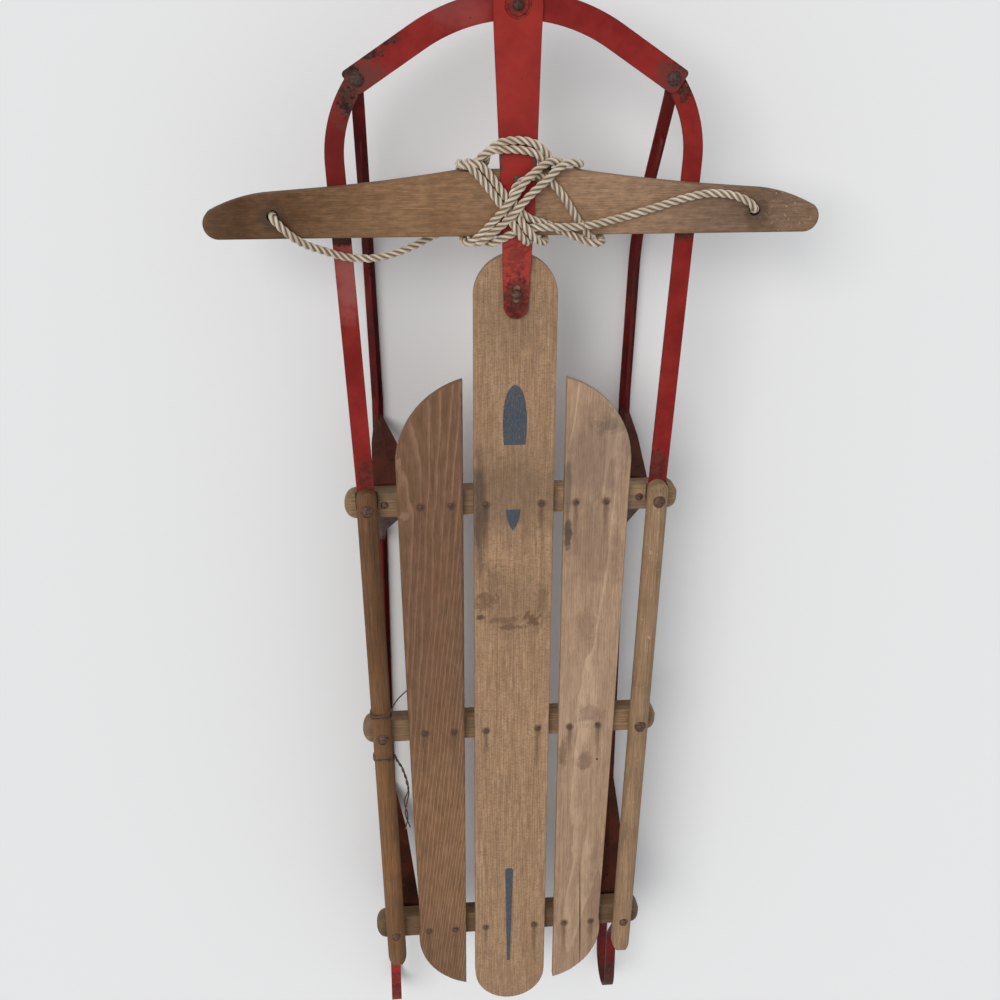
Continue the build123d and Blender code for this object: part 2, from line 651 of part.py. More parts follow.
def bar_rivets():
    rivets = []
    for y in (BAR_RIVET_REAR_Y, BAR_RIVET_Y):
        body = shank(BOLT_SHANK, BEAM_TOP, BAR_TOP + STRAP_THICK)
        body += dome(BAR_RIVET_HEAD, BEAM_HEAD_DOME, BAR_TOP + STRAP_THICK)
        body += mirror(dome(BAR_RIVET_HEAD, BEAM_HEAD_DOME, -BEAM_TOP), about=Plane.XY)
        rivets.append(Pos(0, y, 0) * body)
    return Compound(children=rivets)


# Tow rope

def rope_run(name, points, binding):
    """Tube along straight runs joined by the largest arcs that each pair allows, to the binding."""
    path_points = [Vector(*point) for point in points]
    radii = []
    for before, corner, after in zip(path_points, path_points[1:], path_points[2:]):
        shorter = min((corner - before).length, (after - corner).length)
        turn = (corner - before).get_angle(after - corner)
        radii.append(RUN_SHARE * shorter / math.tan(math.radians(turn) / 2))
    path = FilletPolyline(*path_points, radius=radii).wire()
    section = Plane(origin=path @ 0, z_dir=path % 0) * Circle(ROPE / 2)
    tube = sweep(section, path=path)
    share = tube.volume / (math.pi * ROPE ** 2 / 4 * path.length)
    print(name, "length", round(path.length), "volume share", round(share, 4))
    print(name, "radii", [round(radius) for radius in radii])
    return tube - binding


def knot():
    """Round stopper knot against the bar's underside."""
    ball = shank(KNOT_WIDTH, BEAM_TOP - KNOT_DEPTH, BEAM_TOP)
    ball = fillet(ball.edges().filter_by(GeomType.CIRCLE), KNOT_ROUND)
    return Pos(ROPE_HOLE_X, ROPE_HOLE_Y, 0) * ball


def lashing():
    """The wound rope that binds bar and strap: a sleeve, its crossing on top, its loops in front."""
    corners = [
        (LASH_REAR_LEFT_X, LASH_REAR_Y),
        (LASH_REAR_RIGHT_X, LASH_REAR_Y),
        (LASH_FRONT_RIGHT_X, LASH_FRONT_Y),
        (LASH_FRONT_LEFT_X, LASH_FRONT_Y),
    ]
    sleeve = plate(make_face(Polyline(*corners, close=True)), LASH_FOOT, LASH_TOP - LASH_FOOT)
    sleeve = fillet(sleeve.edges(), LASH_ROUND)
    bar_middle_y = (BAR_REAR_Y + BAR_CREST_Y) / 2
    crown_plan = Pos(LASH_CROWN_X, bar_middle_y) * Ellipse(*[size / 2 for size in LASH_CROWN])
    crown = plate(crown_plan, BAR_TOP, LASH_CROWN_TOP - BAR_TOP)
    crown = fillet(crown.edges().group_by(Axis.Z)[-1], LASH_CROWN_ROUND)
    loops = plate(Pos(0, LASH_LOOP_Y) * Ellipse(*[size / 2 for size in LASH_LOOP]), BAR_TOP,
                  LASH_TOP - BAR_TOP)
    loops = fillet(loops.edges().group_by(Axis.Z)[-1], LASH_LOOP_ROUND)
    body = sleeve + crown + loops
    bar_depth = BAR_CREST_WIDTH + 2 * LAYER_GAP
    bar_room = Pos(0, bar_middle_y) * Rectangle(4 * LASH_REAR_RIGHT_X, bar_depth)
    body -= plate(bar_room, BEAM_TOP - LAYER_GAP, BAR_THICK + 2 * LAYER_GAP)
    body -= strap_body(LAYER_GAP)
    for y in (BAR_RIVET_REAR_Y, BAR_RIVET_Y):
        body -= hole(0, y, BAR_RIVET_HEAD + 2 * LAYER_GAP, low=BEAM_TOP - BEAM_HEAD_DOME - LAYER_GAP,
                     high=BAR_TOP + STRAP_THICK + BEAM_HEAD_DOME + LAYER_GAP)
    return body


binding = lashing()
nodes = {
    "slat_center": center_board(),
    "bumper": bumper(),
    "steering_strap": strap(),
    "steering_bar": steering_bar(),
    "strap_bolt": strap_bolt(),
    "front_pivot": front_pivot(),
    "bar_rivets": bar_rivets(),
    "rope_span_left": rope_run("left rope", ROPE_LEFT, binding),
    "rope_span_right": rope_run("right rope", ROPE_RIGHT, binding),
    "rope_lashing": binding,
}
for name, y, half in BEAMS:
    nodes["beam_" + name] = beam(name, y, half)
mirrored = {
    "slat": side_board(),
    "side_rail": rail(),
    "rail_bolts": rail_bolts(),
    "knee_bolt": knee_bolt(),
    "runner": runner(),
    "runner_nose": runner_nose(),
    "side_arm": arm(),
    "tip_rivet": tip_rivet(),
    "rope_knot": knot(),
}
for name, *measures in KNEES:
    mirrored["knee_" + name] = knee(*measures)
for name, shape in mirrored.items():
    for side, piece in both_sides(shape).items():
        nodes[name + "_" + side] = piece

os.makedirs("parts", exist_ok=True)
for name, shape in nodes.items():
    shape.label = name
    export_step(shape, "parts/" + name + ".step")
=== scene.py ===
# %% [markdown]
# # A runner sled, dressed over its solid frame
# The sled's solid pieces come from the imported frame and keep their place and their shape. This lesson
# gives each of them its finish, and adds what is too fine for the solids: the laid rope with its
# lashing, the nails in the deck, two wire ties, and runners in one piece with cross cuts where they would
# bend.
# Everything is in metres, with Y to the sled's front and Z up, and the runners stand on Z = 0.

# %% Load the frame
import math

import bmesh
import bpy
from mathutils import Matrix, Vector


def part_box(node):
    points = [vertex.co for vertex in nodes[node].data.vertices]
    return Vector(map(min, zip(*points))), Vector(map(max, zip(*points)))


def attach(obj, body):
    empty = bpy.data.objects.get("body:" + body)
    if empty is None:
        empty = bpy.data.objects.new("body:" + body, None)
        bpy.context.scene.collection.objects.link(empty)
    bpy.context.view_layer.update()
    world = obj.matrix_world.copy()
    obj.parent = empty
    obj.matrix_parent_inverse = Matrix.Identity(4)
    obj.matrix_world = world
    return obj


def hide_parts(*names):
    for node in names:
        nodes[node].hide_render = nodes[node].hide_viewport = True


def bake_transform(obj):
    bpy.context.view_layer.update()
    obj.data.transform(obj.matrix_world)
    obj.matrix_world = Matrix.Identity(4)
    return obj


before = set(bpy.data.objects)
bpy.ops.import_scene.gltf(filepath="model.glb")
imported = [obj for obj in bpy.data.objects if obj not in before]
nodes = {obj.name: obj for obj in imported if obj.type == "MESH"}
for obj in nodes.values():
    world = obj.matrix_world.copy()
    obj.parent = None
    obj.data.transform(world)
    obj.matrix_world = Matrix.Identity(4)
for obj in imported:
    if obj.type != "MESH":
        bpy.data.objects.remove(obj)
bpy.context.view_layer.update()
MM = 0.001

# %% [markdown]
# ## The camera
# The photograph looks down on the sled from above its left rear, with a lens of about 47 mm. Place and
# direction were worked out beforehand from the nail lines, board ends and bolts. A camera can be turned
# by three angles, or its three axes can be written down: the axes are what the fit gave, so they are used.

# %% Place the camera
camera_data = bpy.data.cameras.new("photo_camera")
camera_data.sensor_width = 36.0
camera_data.lens = 46.8
camera = bpy.data.objects.new("photo_camera", camera_data)
bpy.context.collection.objects.link(camera)
to_right = Vector((0.99512, 0.00438, 0.09859))
to_top = Vector((0.03305, 0.92656, -0.37469))
to_back = Vector((-0.09299, 0.37612, 0.92189))
turn = Matrix((to_right, to_top, to_back)).transposed()
camera.matrix_world = Matrix.Translation((-0.1496, 0.6634, 1.4649)) @ turn.to_4x4()
bpy.context.scene.camera = camera
print("camera height:", camera.location.z)

# %% [markdown]
# ## Floor, light and background
# A plain pale floor carries the sled and takes its shadow. One broad lamp from the upper left, as in the
# photograph, gives soft shadows to the right, and an even world fills them. A big area lamp could do it
# too, but a sun with a wide angle lights all of a long object at the same level.

# %% Helpers to add things by hand


def deselect():
    """Nothing selected, so that an operator acts on the new piece alone."""
    if bpy.context.object and bpy.context.object.mode != "OBJECT":
        bpy.ops.object.mode_set(mode="OBJECT")
    bpy.ops.object.select_all(action="DESELECT")


def pick(piece):
    deselect()
    piece.select_set(True)
    bpy.context.view_layer.objects.active = piece
    return piece


def added(name):
    """The piece that an operator has just added, under its own name."""
    piece = bpy.context.object
    piece.name = name
    piece.data.name = name
    return piece


def settle(piece):
    """Puts the piece's place, turn and size into its mesh."""
    pick(piece)
    bpy.ops.object.transform_apply(location=True, rotation=True, scale=True)
    return piece


# %% Floor and lamps
deselect()
bpy.ops.mesh.primitive_plane_add(size=30.0, location=(0, 0, 0))
floor = settle(added("floor"))

lamp_data = bpy.data.lights.new("window_light", "SUN")
lamp_data.energy = 1.5
lamp_data.angle = math.radians(35)
lamp_data.color = (1.0, 0.985, 0.96)
lamp = bpy.data.objects.new("window_light", lamp_data)
lamp.rotation_euler = Vector((-0.55, 0.35, 1.0)).to_track_quat("Z", "Y").to_euler()
bpy.context.collection.objects.link(lamp)

world = bpy.data.worlds.new("studio")
bpy.context.scene.world = world
world.use_nodes = True
world.node_tree.nodes["Background"].inputs["Color"].default_value = (0.95, 0.97, 1.0, 1)
world.node_tree.nodes["Background"].inputs["Strength"].default_value = 0.62
bpy.context.scene.view_settings.view_transform = "Standard"
print("lamps:", lamp.name, "and world", world.name)

# %% [markdown]
# ## Small tools for finishes
# Each finish is a tree of shader nodes. Written out by hand such a tree takes a page, so a few short
# helpers add one node each and join it up. Effects that several finishes share become node groups: the
# board's grain, blots and stains, worn edges, and a spot at a chosen place.

# %% Node helpers
SOCKETS = {"float": "NodeSocketFloat", "vector": "NodeSocketVector"}


class Tree:
    """Adds nodes to one material or node group and links them up."""

    def __init__(self, tree):
        self.tree = tree

    def node(self, kind, values, **settings):
        new = self.tree.nodes.new(kind)
        for key, value in settings.items():
            setattr(new, key, value)
        for key, value in values.items():
            self.feed(value, new.inputs[key])
        return new

    def feed(self, value, socket):
        if isinstance(value, bpy.types.NodeSocket):
            self.tree.links.new(value, socket)
        else:
            socket.default_value = value

    def math(self, operation, a, b=None):
        values = {0: a} if b is None else {0: a, 1: b}
        return self.node("ShaderNodeMath", values, operation=operation).outputs[0]

    def plus(self, a, b):
        return self.math("ADD", a, b)

    def minus(self, a, b):
        return self.math("SUBTRACT", a, b)

    def times(self, a, b):
        return self.math("MULTIPLY", a, b)

    def most(self, a, b):
        return self.math("MAXIMUM", a, b)

    def vector(self, operation, a, b=(0.0, 0.0, 0.0)):
        new = self.node("ShaderNodeVectorMath", {0: a}, operation=operation)
        if operation == "SCALE":
            self.feed(b, new.inputs["Scale"])
        elif operation != "LENGTH":
            self.feed(b, new.inputs[1])
        return new.outputs["Value" if operation == "LENGTH" else "Vector"]

    def split(self, vector):
        return self.node("ShaderNodeSeparateXYZ", {0: vector}).outputs

    def join(self, x, y, z):
        return self.node("ShaderNodeCombineXYZ", {0: x, 1: y, 2: z}).outputs[0]

    def noise(self, vector, scale, detail=2.0, roughness=0.5, distortion=0.0):
        values = {"Vector": vector, "Scale": scale, "Detail": detail, "Roughness": roughness,
                  "Distortion": distortion}
        return self.node("ShaderNodeTexNoise", values).outputs["Fac"]

    def place(self, vector, location=(0, 0, 0), turn=(0, 0, 0), scale=(1, 1, 1)):
        values = {"Vector": vector, "Location": location, "Rotation": turn, "Scale": scale}
        return self.node("ShaderNodeMapping", values).outputs[0]

    def range(self, value, low, high, to_low=0.0, to_high=1.0):
        values = {"Value": value, "From Min": low, "From Max": high, "To Min": to_low, "To Max": to_high}
        return self.node("ShaderNodeMapRange", values, interpolation_type="SMOOTHSTEP").outputs[0]

    def blend(self, share, below, above, kind="MIX"):
        new = self.tree.nodes.new("ShaderNodeMix")
        new.data_type = "RGBA"
        new.blend_type = kind
        for value, socket in ((share, new.inputs[0]), (below, new.inputs[6]), (above, new.inputs[7])):
            self.feed(value, socket)
        return new.outputs[2]

    def bump(self, height, distance, strength=1.0):
        values = {"Height": height, "Distance": distance, "Strength": strength}
        return self.node("ShaderNodeBump", values).outputs[0]

    def use(self, group, **values):
        new = self.tree.nodes.new("ShaderNodeGroup")
        new.node_tree = group
        for key, value in values.items():
            self.feed(value, new.inputs[key.replace("_", " ").capitalize()])
        return new.outputs


def shared_effect(name, inputs, outputs):
    """An empty node group with named inputs and outputs, and its two ends."""
    group = bpy.data.node_groups.new(name, "ShaderNodeTree")
    for label, (kind, value) in inputs.items():
        socket = group.interface.new_socket(name=label, in_out="INPUT", socket_type=SOCKETS[kind])
        if value is not None:
            socket.default_value = value
    for label, kind in outputs.items():
        group.interface.new_socket(name=label, in_out="OUTPUT", socket_type=SOCKETS[kind])
    start = group.nodes.new("NodeGroupInput").outputs
    end = group.nodes.new("NodeGroupOutput").inputs
    return group, Tree(group), start, end


def finish(name):
    """A new material, its tree, its shader and the piece's own coordinates."""
    material = bpy.data.materials.new(name)
    material.use_nodes = True
    tree = Tree(material.node_tree)
    shader = material.node_tree.nodes["Principled BSDF"]
    where = material.node_tree.nodes.new("ShaderNodeTexCoord").outputs["Object"]
    return material, tree, shader, where


def rgb(red, green, blue):
    """A tone as a screen shows it, from 0 to 255, in the linear values that shaders use."""
    tone = []
    for value in (red / 255, green / 255, blue / 255):
        tone.append(value / 12.92 if value <= 0.04045 else ((value + 0.055) / 1.055) ** 2.4)
    return (*tone, 1.0)


print("a light wood tone in linear values:", rgb(154, 124, 97))

# %% [markdown]
# ## Grain
# A sawn board shows the tree's year rings where its face cuts them. Painting stripes would look flat at
# the ends, so the rings are solid: tubes round the tree's heart, which lies beside or below the board
# and leans a little. Drawn-out noise bends them. Much finer noise gives fibres and the dark pores.

# %% The grain group
grain, t, start, end = shared_effect(
    "board_grain",
    {
        "Vector": ("vector", None),
        "Ring width": ("float", 0.004),
        "Wander": ("float", 0.006),
        "Fibre": ("float", 1.0),
    },
    {"Ring": "float", "Fibre": "float", "Pore": "float", "Height": "float"},
)
x, y, z = t.split(start["Vector"])
drawn = t.join(x, t.times(y, 0.12), z)
wander = t.minus(t.noise(drawn, 22.0, 3.0, 0.55), 0.5)
shift = t.times(wander, start["Wander"])
radius = t.math("SQRT", t.plus(t.times(x, x), t.times(z, z)))
phase = t.math("FRACT", t.math("DIVIDE", t.plus(radius, shift), start["Ring width"]))
late = t.times(t.range(phase, 0.35, 0.92), t.range(phase, 1.0, 0.94))
t.feed(late, end["Ring"])
long_fibre = t.noise(t.join(x, t.times(y, 0.018), z), 900.0, 3.0, 0.6)
wide_fibre = t.noise(t.join(x, t.times(y, 0.03), z), 240.0, 2.0, 0.5)
fibre = t.plus(t.times(long_fibre, 0.78), t.times(wide_fibre, 0.22))
t.feed(fibre, end["Fibre"])
pore = t.noise(t.join(x, t.times(y, 0.05), z), 1500.0, 1.0, 0.4)
pore = t.range(pore, 0.6, 0.72)
t.feed(pore, end["Pore"])
height = t.minus(t.times(fibre, start["Fibre"]), t.times(pore, 0.35))
t.feed(t.minus(height, t.times(late, 0.15)), end["Height"])
print("grain group:", len(grain.nodes), "nodes")

# %% [markdown]
# ## Blots, spots and worn edges
# Stains, dirt and worn places are the same thing at different sizes: a soft blot with a ragged edge.
# One group scatters blots all over, another puts one at a chosen place. A third finds the edges that
# hands and ground rub first, from how far a rounded normal leaves the flat one.

# %% Three shared masks
blots, t, start, end = shared_effect(
    "scattered_blots",
    {"Vector": ("vector", None), "Scale": ("float", 20.0), "Amount": ("float", 0.5),
     "Soft": ("float", 0.1)},
    {"Mask": "float"},
)
cloud = t.noise(start["Vector"], start["Scale"], 6.0, 0.62)
edge = t.minus(1.0, start["Amount"])
low = t.minus(edge, start["Soft"])
high = t.plus(edge, start["Soft"])
t.feed(t.range(cloud, low, high), end["Mask"])

spot, t, start, end = shared_effect(
    "spot_at",
    {
        "Vector": ("vector", None),
        "Center": ("vector", (0, 0, 0)),
        "Size": ("vector", (0.01, 0.01, 0.01)),
        "Ragged": ("float", 0.5),
        "Soft": ("float", 0.3),
        "Grit": ("float", 150.0),
    },
    {"Mask": "float"},
)
off = t.vector("SUBTRACT", start["Vector"], start["Center"])
away = t.vector("LENGTH", t.vector("DIVIDE", off, start["Size"]))
torn = t.minus(t.noise(start["Vector"], start["Grit"], 5.0, 0.65), 0.5)
away = t.plus(away, t.times(torn, t.times(start["Ragged"], 3.0)))
inner = t.minus(1.0, start["Soft"])
t.feed(t.range(away, t.plus(1.0, start["Soft"]), inner), end["Mask"])

rubbed, t, start, end = shared_effect(
    "rubbed_edges",
    {"Vector": ("vector", None), "Width": ("float", 0.0015), "Amount": ("float", 0.5),
     "Grit": ("float", 180.0)},
    {"Mask": "float"},
)
rounded = t.tree.nodes.new("ShaderNodeBevel")
rounded.samples = 4
t.feed(start["Width"], rounded.inputs["Radius"])
flat = t.tree.nodes.new("ShaderNodeNewGeometry").outputs["Normal"]
dot = t.node("ShaderNodeVectorMath", {0: rounded.outputs[0], 1: flat}, operation="DOT_PRODUCT")
lift = t.times(t.minus(1.0, dot.outputs["Value"]), 3.0)
torn = t.noise(start["Vector"], start["Grit"], 6.0, 0.7)
torn = t.plus(t.minus(torn, 0.5), start["Amount"])
t.feed(t.range(t.times(lift, torn), 0.12, 0.3), end["Mask"])
print("masks:", blots.name, spot.name, rubbed.name)

# %% [markdown]
# ## Marks on the deck
# The middle board carries three plain slate-blue marks: a long one with a round top, a small one that
# ends in a point, and a thin taper. Loose plates would stand proud of the wood, and the real ones are
# paint, so one group draws a mark in the finish: its half width falls from its flat end to its tip.
# Rust from the nails has run towards the sled's rear, and a second group lays that down in three rows.

# %% Groups for painted marks and rust runs
mark, t, start, end = shared_effect(
    "painted_mark",
    {
        "Vector": ("vector", None),
        "Middle": ("float", 0.0),
        "Flat end": ("float", 0.0),
        "Length": ("float", 0.05),
        "Half width": ("float", 0.01),
        "Taper": ("float", 2.0),
        "Roundness": ("float", 1.0),
        "Tip share": ("float", 0.0),
        "Waist": ("float", 0.0),
    },
    {"Mask": "float"},
)
x, y, z = t.split(start["Vector"])
along = t.math("DIVIDE", t.minus(y, start["Flat end"]), start["Length"])
inside = t.times(t.math("GREATER_THAN", along, 0.0), t.math("LESS_THAN", along, 1.0))
held = t.most(t.math("MINIMUM", along, 1.0), 0.0)
fall = t.minus(1.0, t.math("POWER", held, start["Taper"]))
fall = t.math("POWER", fall, start["Roundness"])
share = t.plus(start["Tip share"], t.times(fall, t.minus(1.0, start["Tip share"])))
near_end = t.math("POWER", t.minus(1.0, held), 4.0)
share = t.times(share, t.minus(1.0, t.times(near_end, start["Waist"])))
half = t.times(start["Half width"], share)
side = t.math("ABSOLUTE", t.minus(x, start["Middle"]))
across = t.minus(half, side)
ragged = t.times(t.minus(t.noise(start["Vector"], 1100.0, 2.0), 0.5), 0.0008)
solid = t.range(t.plus(across, ragged), -0.0002, 0.0003)
t.feed(t.times(solid, inside), end["Mask"])

NAIL_ROWS = (0.116, -0.1746, -0.467)
runs, t, start, end = shared_effect(
    "nail_rust",
    {"Vector": ("vector", None), "First": ("float", 0.0), "Second": ("float", 0.1)},
    {"Halo": "float", "Run": "float"},
)
x, y, z = t.split(start["Vector"])
sideways = t.times(t.minus(t.noise(start["Vector"], 90.0, 3.0), 0.5), 0.004)
gap = t.math("MINIMUM", t.math("ABSOLUTE", t.minus(x, start["First"])),
             t.math("ABSOLUTE", t.minus(x, start["Second"])))
gap = t.plus(gap, sideways)
halo, run = 0.0, 0.0
for row in NAIL_ROWS:
    ahead = t.minus(y, row)
    ring = t.math("SQRT", t.plus(t.times(gap, gap), t.times(ahead, ahead)))
    halo = t.most(halo, t.range(ring, 0.0068, 0.0026))
    long = t.times(t.range(ahead, -0.07, -0.006), t.range(ahead, 0.003, -0.001))
    run = t.most(run, t.times(long, t.range(gap, 0.0045, 0.0008)))
t.feed(halo, end["Halo"])
t.feed(run, end["Run"])
print("marks:", mark.name, runs.name)

# %% [markdown]
# ## Bare wood
# Every wooden piece is bare, weathered hardwood: the varnish has gone, the fibre stands up a little and
# the surface is dull. They share one recipe with their own tones, and their own place in the log, so
# that no two boards show the same rings. After that each gets the stains that time gave it, and some get
# painted light and shade over broad places. What wood and paint share is written first. Places and sizes
# of stains and of painted light and shade are in millimetres, one row for each.

# %% The wood recipe
woods = {}


class Surface:
    """What wood and paint share: a material whose tone still changes, and two masks to change it by."""

    def __init__(self, name):
        self.material, self.t, self.shader, self.where = finish(name)

    def spot_mask(self, x, y, z, size, ragged, soft, grit):
        """A ragged spot round a place, both in millimetres."""
        at = tuple(MM * value for value in (x, y, z))
        by = tuple(MM * value for value in size)
        return self.t.use(spot, vector=self.where, center=at, size=by, ragged=ragged, soft=soft,
                          grit=grit)["Mask"]

    def blot_mask(self, scale, amount, soft):
        return self.t.use(blots, vector=self.where, scale=scale, amount=amount, soft=soft)["Mask"]


class Wood(Surface):
    """Bare wood: a tone and a height that stains and painted light and shade may still change, then the
    finished material.
    """

    def __init__(self, name, light, dark, ring, heart, lean, ring_width, wander, ring_share, turned=0.0,
                 fineness=1.0, line=1.0):
        super().__init__(name)
        t = self.t
        self.grit = t.place(self.where, turn=(0, 0, turned))
        seated = t.place(self.grit, location=heart, turn=lean)
        rings = t.use(grain, vector=seated, ring_width=ring_width, wander=wander)
        fine = t.use(grain, vector=t.vector("SCALE", self.grit, fineness), ring_width=0.05)
        shade = t.range(fine["Fibre"], 0.36, 0.64)
        self.tone = t.blend(shade, dark, light)
        drawn = t.math("POWER", rings["Ring"], line)
        self.tone = t.blend(t.times(drawn, ring_share), self.tone, ring)
        broad = t.noise(t.join(*self.slow()), 7.0, 3.0, 0.5)
        self.tone = t.blend(t.range(broad, 0.35, 0.7, 0.0, 0.35), self.tone, dark)
        self.tone = t.blend(t.times(fine["Pore"], 0.4), self.tone, t.blend(0.5, dark, rgb(60, 42, 30)))
        self.height = t.minus(fine["Height"], t.times(rings["Ring"], 0.2))
        woods[name] = self

    def slow(self):
        x, y, z = self.t.split(self.grit)
        return x, self.t.times(y, 0.3), z

    def stain(self, mask, tone, strength):
        self.tone = self.t.blend(self.t.times(mask, strength), self.tone, tone)

    def spot(self, x, y, z, size, tone, strength, ragged=0.5, soft=0.4, grit=110.0):
        mask = self.spot_mask(x, y, z, size, ragged, soft, grit)
        self.stain(mask, tone, strength)
        return mask

    def shade(self, x, y, z, size, light_and_shade_factor, strength=1.0, ragged=0.3, soft=0.6, grit=12.0):
        """Painted light and shade round one place: multiplies the tone, below 1 paints shade, above 1
        paints light.
        """
        share = self.t.times(self.spot_mask(x, y, z, size, ragged, soft, grit), strength)
        self.tone = self.t.blend(share, self.tone, (*light_and_shade_factor, 1.0), kind="MULTIPLY")

    def blotch(self, scale, amount, soft, tone, strength):
        self.stain(self.blot_mask(scale, amount, soft), tone, strength)

    def mottle(self, scale, low, high):
        """Uneven small light and dark, as in wood that has been wet and dried."""
        fleck = self.t.noise(self.t.place(self.grit, scale=(1.0, 0.4, 1.0)), scale, 3.0, 0.6)
        level = self.t.range(fleck, 0.3, 0.7, low, high)
        self.tone = self.t.blend(1.0, self.tone, self.t.join(level, level, level), kind="MULTIPLY")

    def dent(self, mask, depth):
        self.height = self.t.minus(self.height, self.t.times(mask, depth))

    def nails(self, first, second, halo, run):
        rust = self.t.use(runs, vector=self.where, first=first * MM, second=second * MM)
        self.stain(rust["Run"], run, 0.55)
        self.stain(rust["Halo"], halo, 0.65)

    def dress(self, *names):
        """Joins the tone and height to the shader and gives the material to the named pieces."""
        self.t.feed(self.tone, self.shader.inputs["Base Color"])
        rough = self.t.range(self.t.noise(self.where, 30.0, 4.0), 0.3, 0.7, 0.62, 0.86)
        self.t.feed(rough, self.shader.inputs["Roughness"])
        self.shader.inputs["Specular IOR Level"].default_value = 0.32
        self.t.feed(self.t.bump(self.height, 0.0006, 0.55), self.shader.inputs["Normal"])
        coat(self.material, *names)


def coat(material, *names):
    """Gives the material to every slot of the named solid pieces."""
    for name in names:
        data = nodes[name].data
        if not data.materials:
            data.materials.append(material)
        for index in range(len(data.materials)):
            data.materials[index] = material


DECK = 137
DIRT = rgb(74, 60, 48)
SOOT = rgb(52, 44, 38)
RUST_HALO = rgb(58, 38, 28)
RUST_RUN = rgb(84, 58, 44)
SLATE = rgb(60, 72, 82)

# %% The middle board
center = Wood("center_board_wood", rgb(180, 146, 114), rgb(143, 111, 83), rgb(122, 92, 66),
              (0.0, 0.0, 0.22), (0.02, 0.0, 0.0), 0.0055, 0.02, 0.16, fineness=1.3)
t = center.t
weave = t.noise(t.place(center.where, scale=(0.34, 1.0, 1.0)), 820.0, 1.0, 0.4)
center.stain(t.range(weave, 0.42, 0.72), rgb(126, 97, 71), 0.55)
for place in (  # x, y, z, size, tone, strength, ragged, soft, grit
    (-6, 128, DECK, (52, 46, 20), rgb(106, 84, 66), 0.55, 0.5, 0.6, 40.0),
    (-38, 104, DECK, (7, 62, 20), SOOT, 0.62, 0.5, 0.5, 60.0),
    (-2, -8, DECK, (38, 36, 20), rgb(112, 86, 64), 0.3, 0.5, 0.6, 50.0),
    (-38, -22.6, DECK, (5, 3.2, 20), SOOT, 0.7, 0.9),
    (-31, -3, DECK, (12, 9, 20), rgb(88, 64, 46), 0.5, 1.5, 0.3, 130.0),
    (22, -29, DECK, (9, 8, 20), rgb(82, 54, 36), 0.65, 1.5, 0.3, 150.0),
    (2, -38, DECK, (15, 3.4, 20), rgb(84, 60, 42), 0.55, 1.3, 0.3, 150.0),
    (-14, -28, DECK, (17, 4, 20), rgb(90, 66, 48), 0.45, 1.3, 0.3, 150.0),
    (34, -8, DECK, (5, 24, 20), rgb(96, 74, 56), 0.4, 0.9),
    (-21, 24, DECK, (10, 18, 20), rgb(96, 72, 54), 0.3, 1.6, 0.3, 120.0),
    (0, 330, DECK, (40, 50, 20), rgb(112, 88, 66), 0.3, 0.5, 0.7),
):
    center.spot(*place)
center.nails(-31, 31, RUST_HALO, RUST_RUN)
center.mottle(160.0, 0.9, 1.08)
paint = 0.0
for middle, flat_end, length, half_width, taper, roundness, tip, waist in (
    (0.2, 185.8, 68.1, 13.7, 3.6, 0.5, 0.0, 0.12),
    (-0.8, 109.6, -25.4, 8.1, 1.9, 0.8, 0.0, 0.0),
    (-1.9, -380.2, -141.7, 5.1, 1.0, 1.0, 0.39, 0.0),
):
    drawn_mark = t.use(mark, vector=center.where, middle=middle * MM, flat_end=flat_end * MM,
                       length=length * MM, half_width=half_width * MM, taper=taper,
                       roundness=roundness, tip_share=tip, waist=waist)
    paint = t.most(paint, drawn_mark["Mask"])
paint = t.most(paint, center.spot_mask(-1.9, -380.6, DECK, (5.1, 4.2, 20), 0.03, 0.06, 700.0))
x, y, z = t.split(center.where)
paint = t.times(paint, t.math("GREATER_THAN", z, (DECK - 0.5) * MM))
thin = t.noise(t.place(center.where, scale=(1, 0.3, 1)), 900.0, 2.0)
worn = t.range(thin, 0.2, 0.62, 0.72, 1.0)
center.stain(t.times(paint, worn), SLATE, 1.0)
center.dress("slat_center")

# %% The side boards
left = Wood("left_board_wood", rgb(124, 91, 66), rgb(101, 71, 50), rgb(164, 128, 100),
            (0.16, 0.1, 0.05), (0.03, 0.0, 0.16), 0.0024, 0.009, 0.42, fineness=1.5, line=3.0)
for place in (  # x, y, z, size, tone, strength, ragged, soft, grit
    (-100, 60, DECK, (26, 150, 30), rgb(108, 68, 54), 0.14, 0.4, 0.7, 20.0),
    (-86, -60, DECK, (16, 120, 30), rgb(120, 76, 52), 0.14, 0.5, 0.7, 20.0),
    (-122, 105, DECK, (5.5, 5, 6), rgb(168, 138, 114), 0.3, 1.3, 0.35, 260.0),
    (-57.5, 0, DECK, (1.6, 270, 12), rgb(78, 58, 44), 0.6, 0.8, 0.5, 60.0),
):
    left.spot(*place)
left.nails(-104, -69.5, RUST_HALO, RUST_RUN)
# painted light: the left board's rear part is made lighter
left.shade(-88, -330, DECK, (70, 150, 40), (1.2, 1.2, 1.12))
left.mottle(140.0, 0.9, 1.1)
left.dress("slat_left")

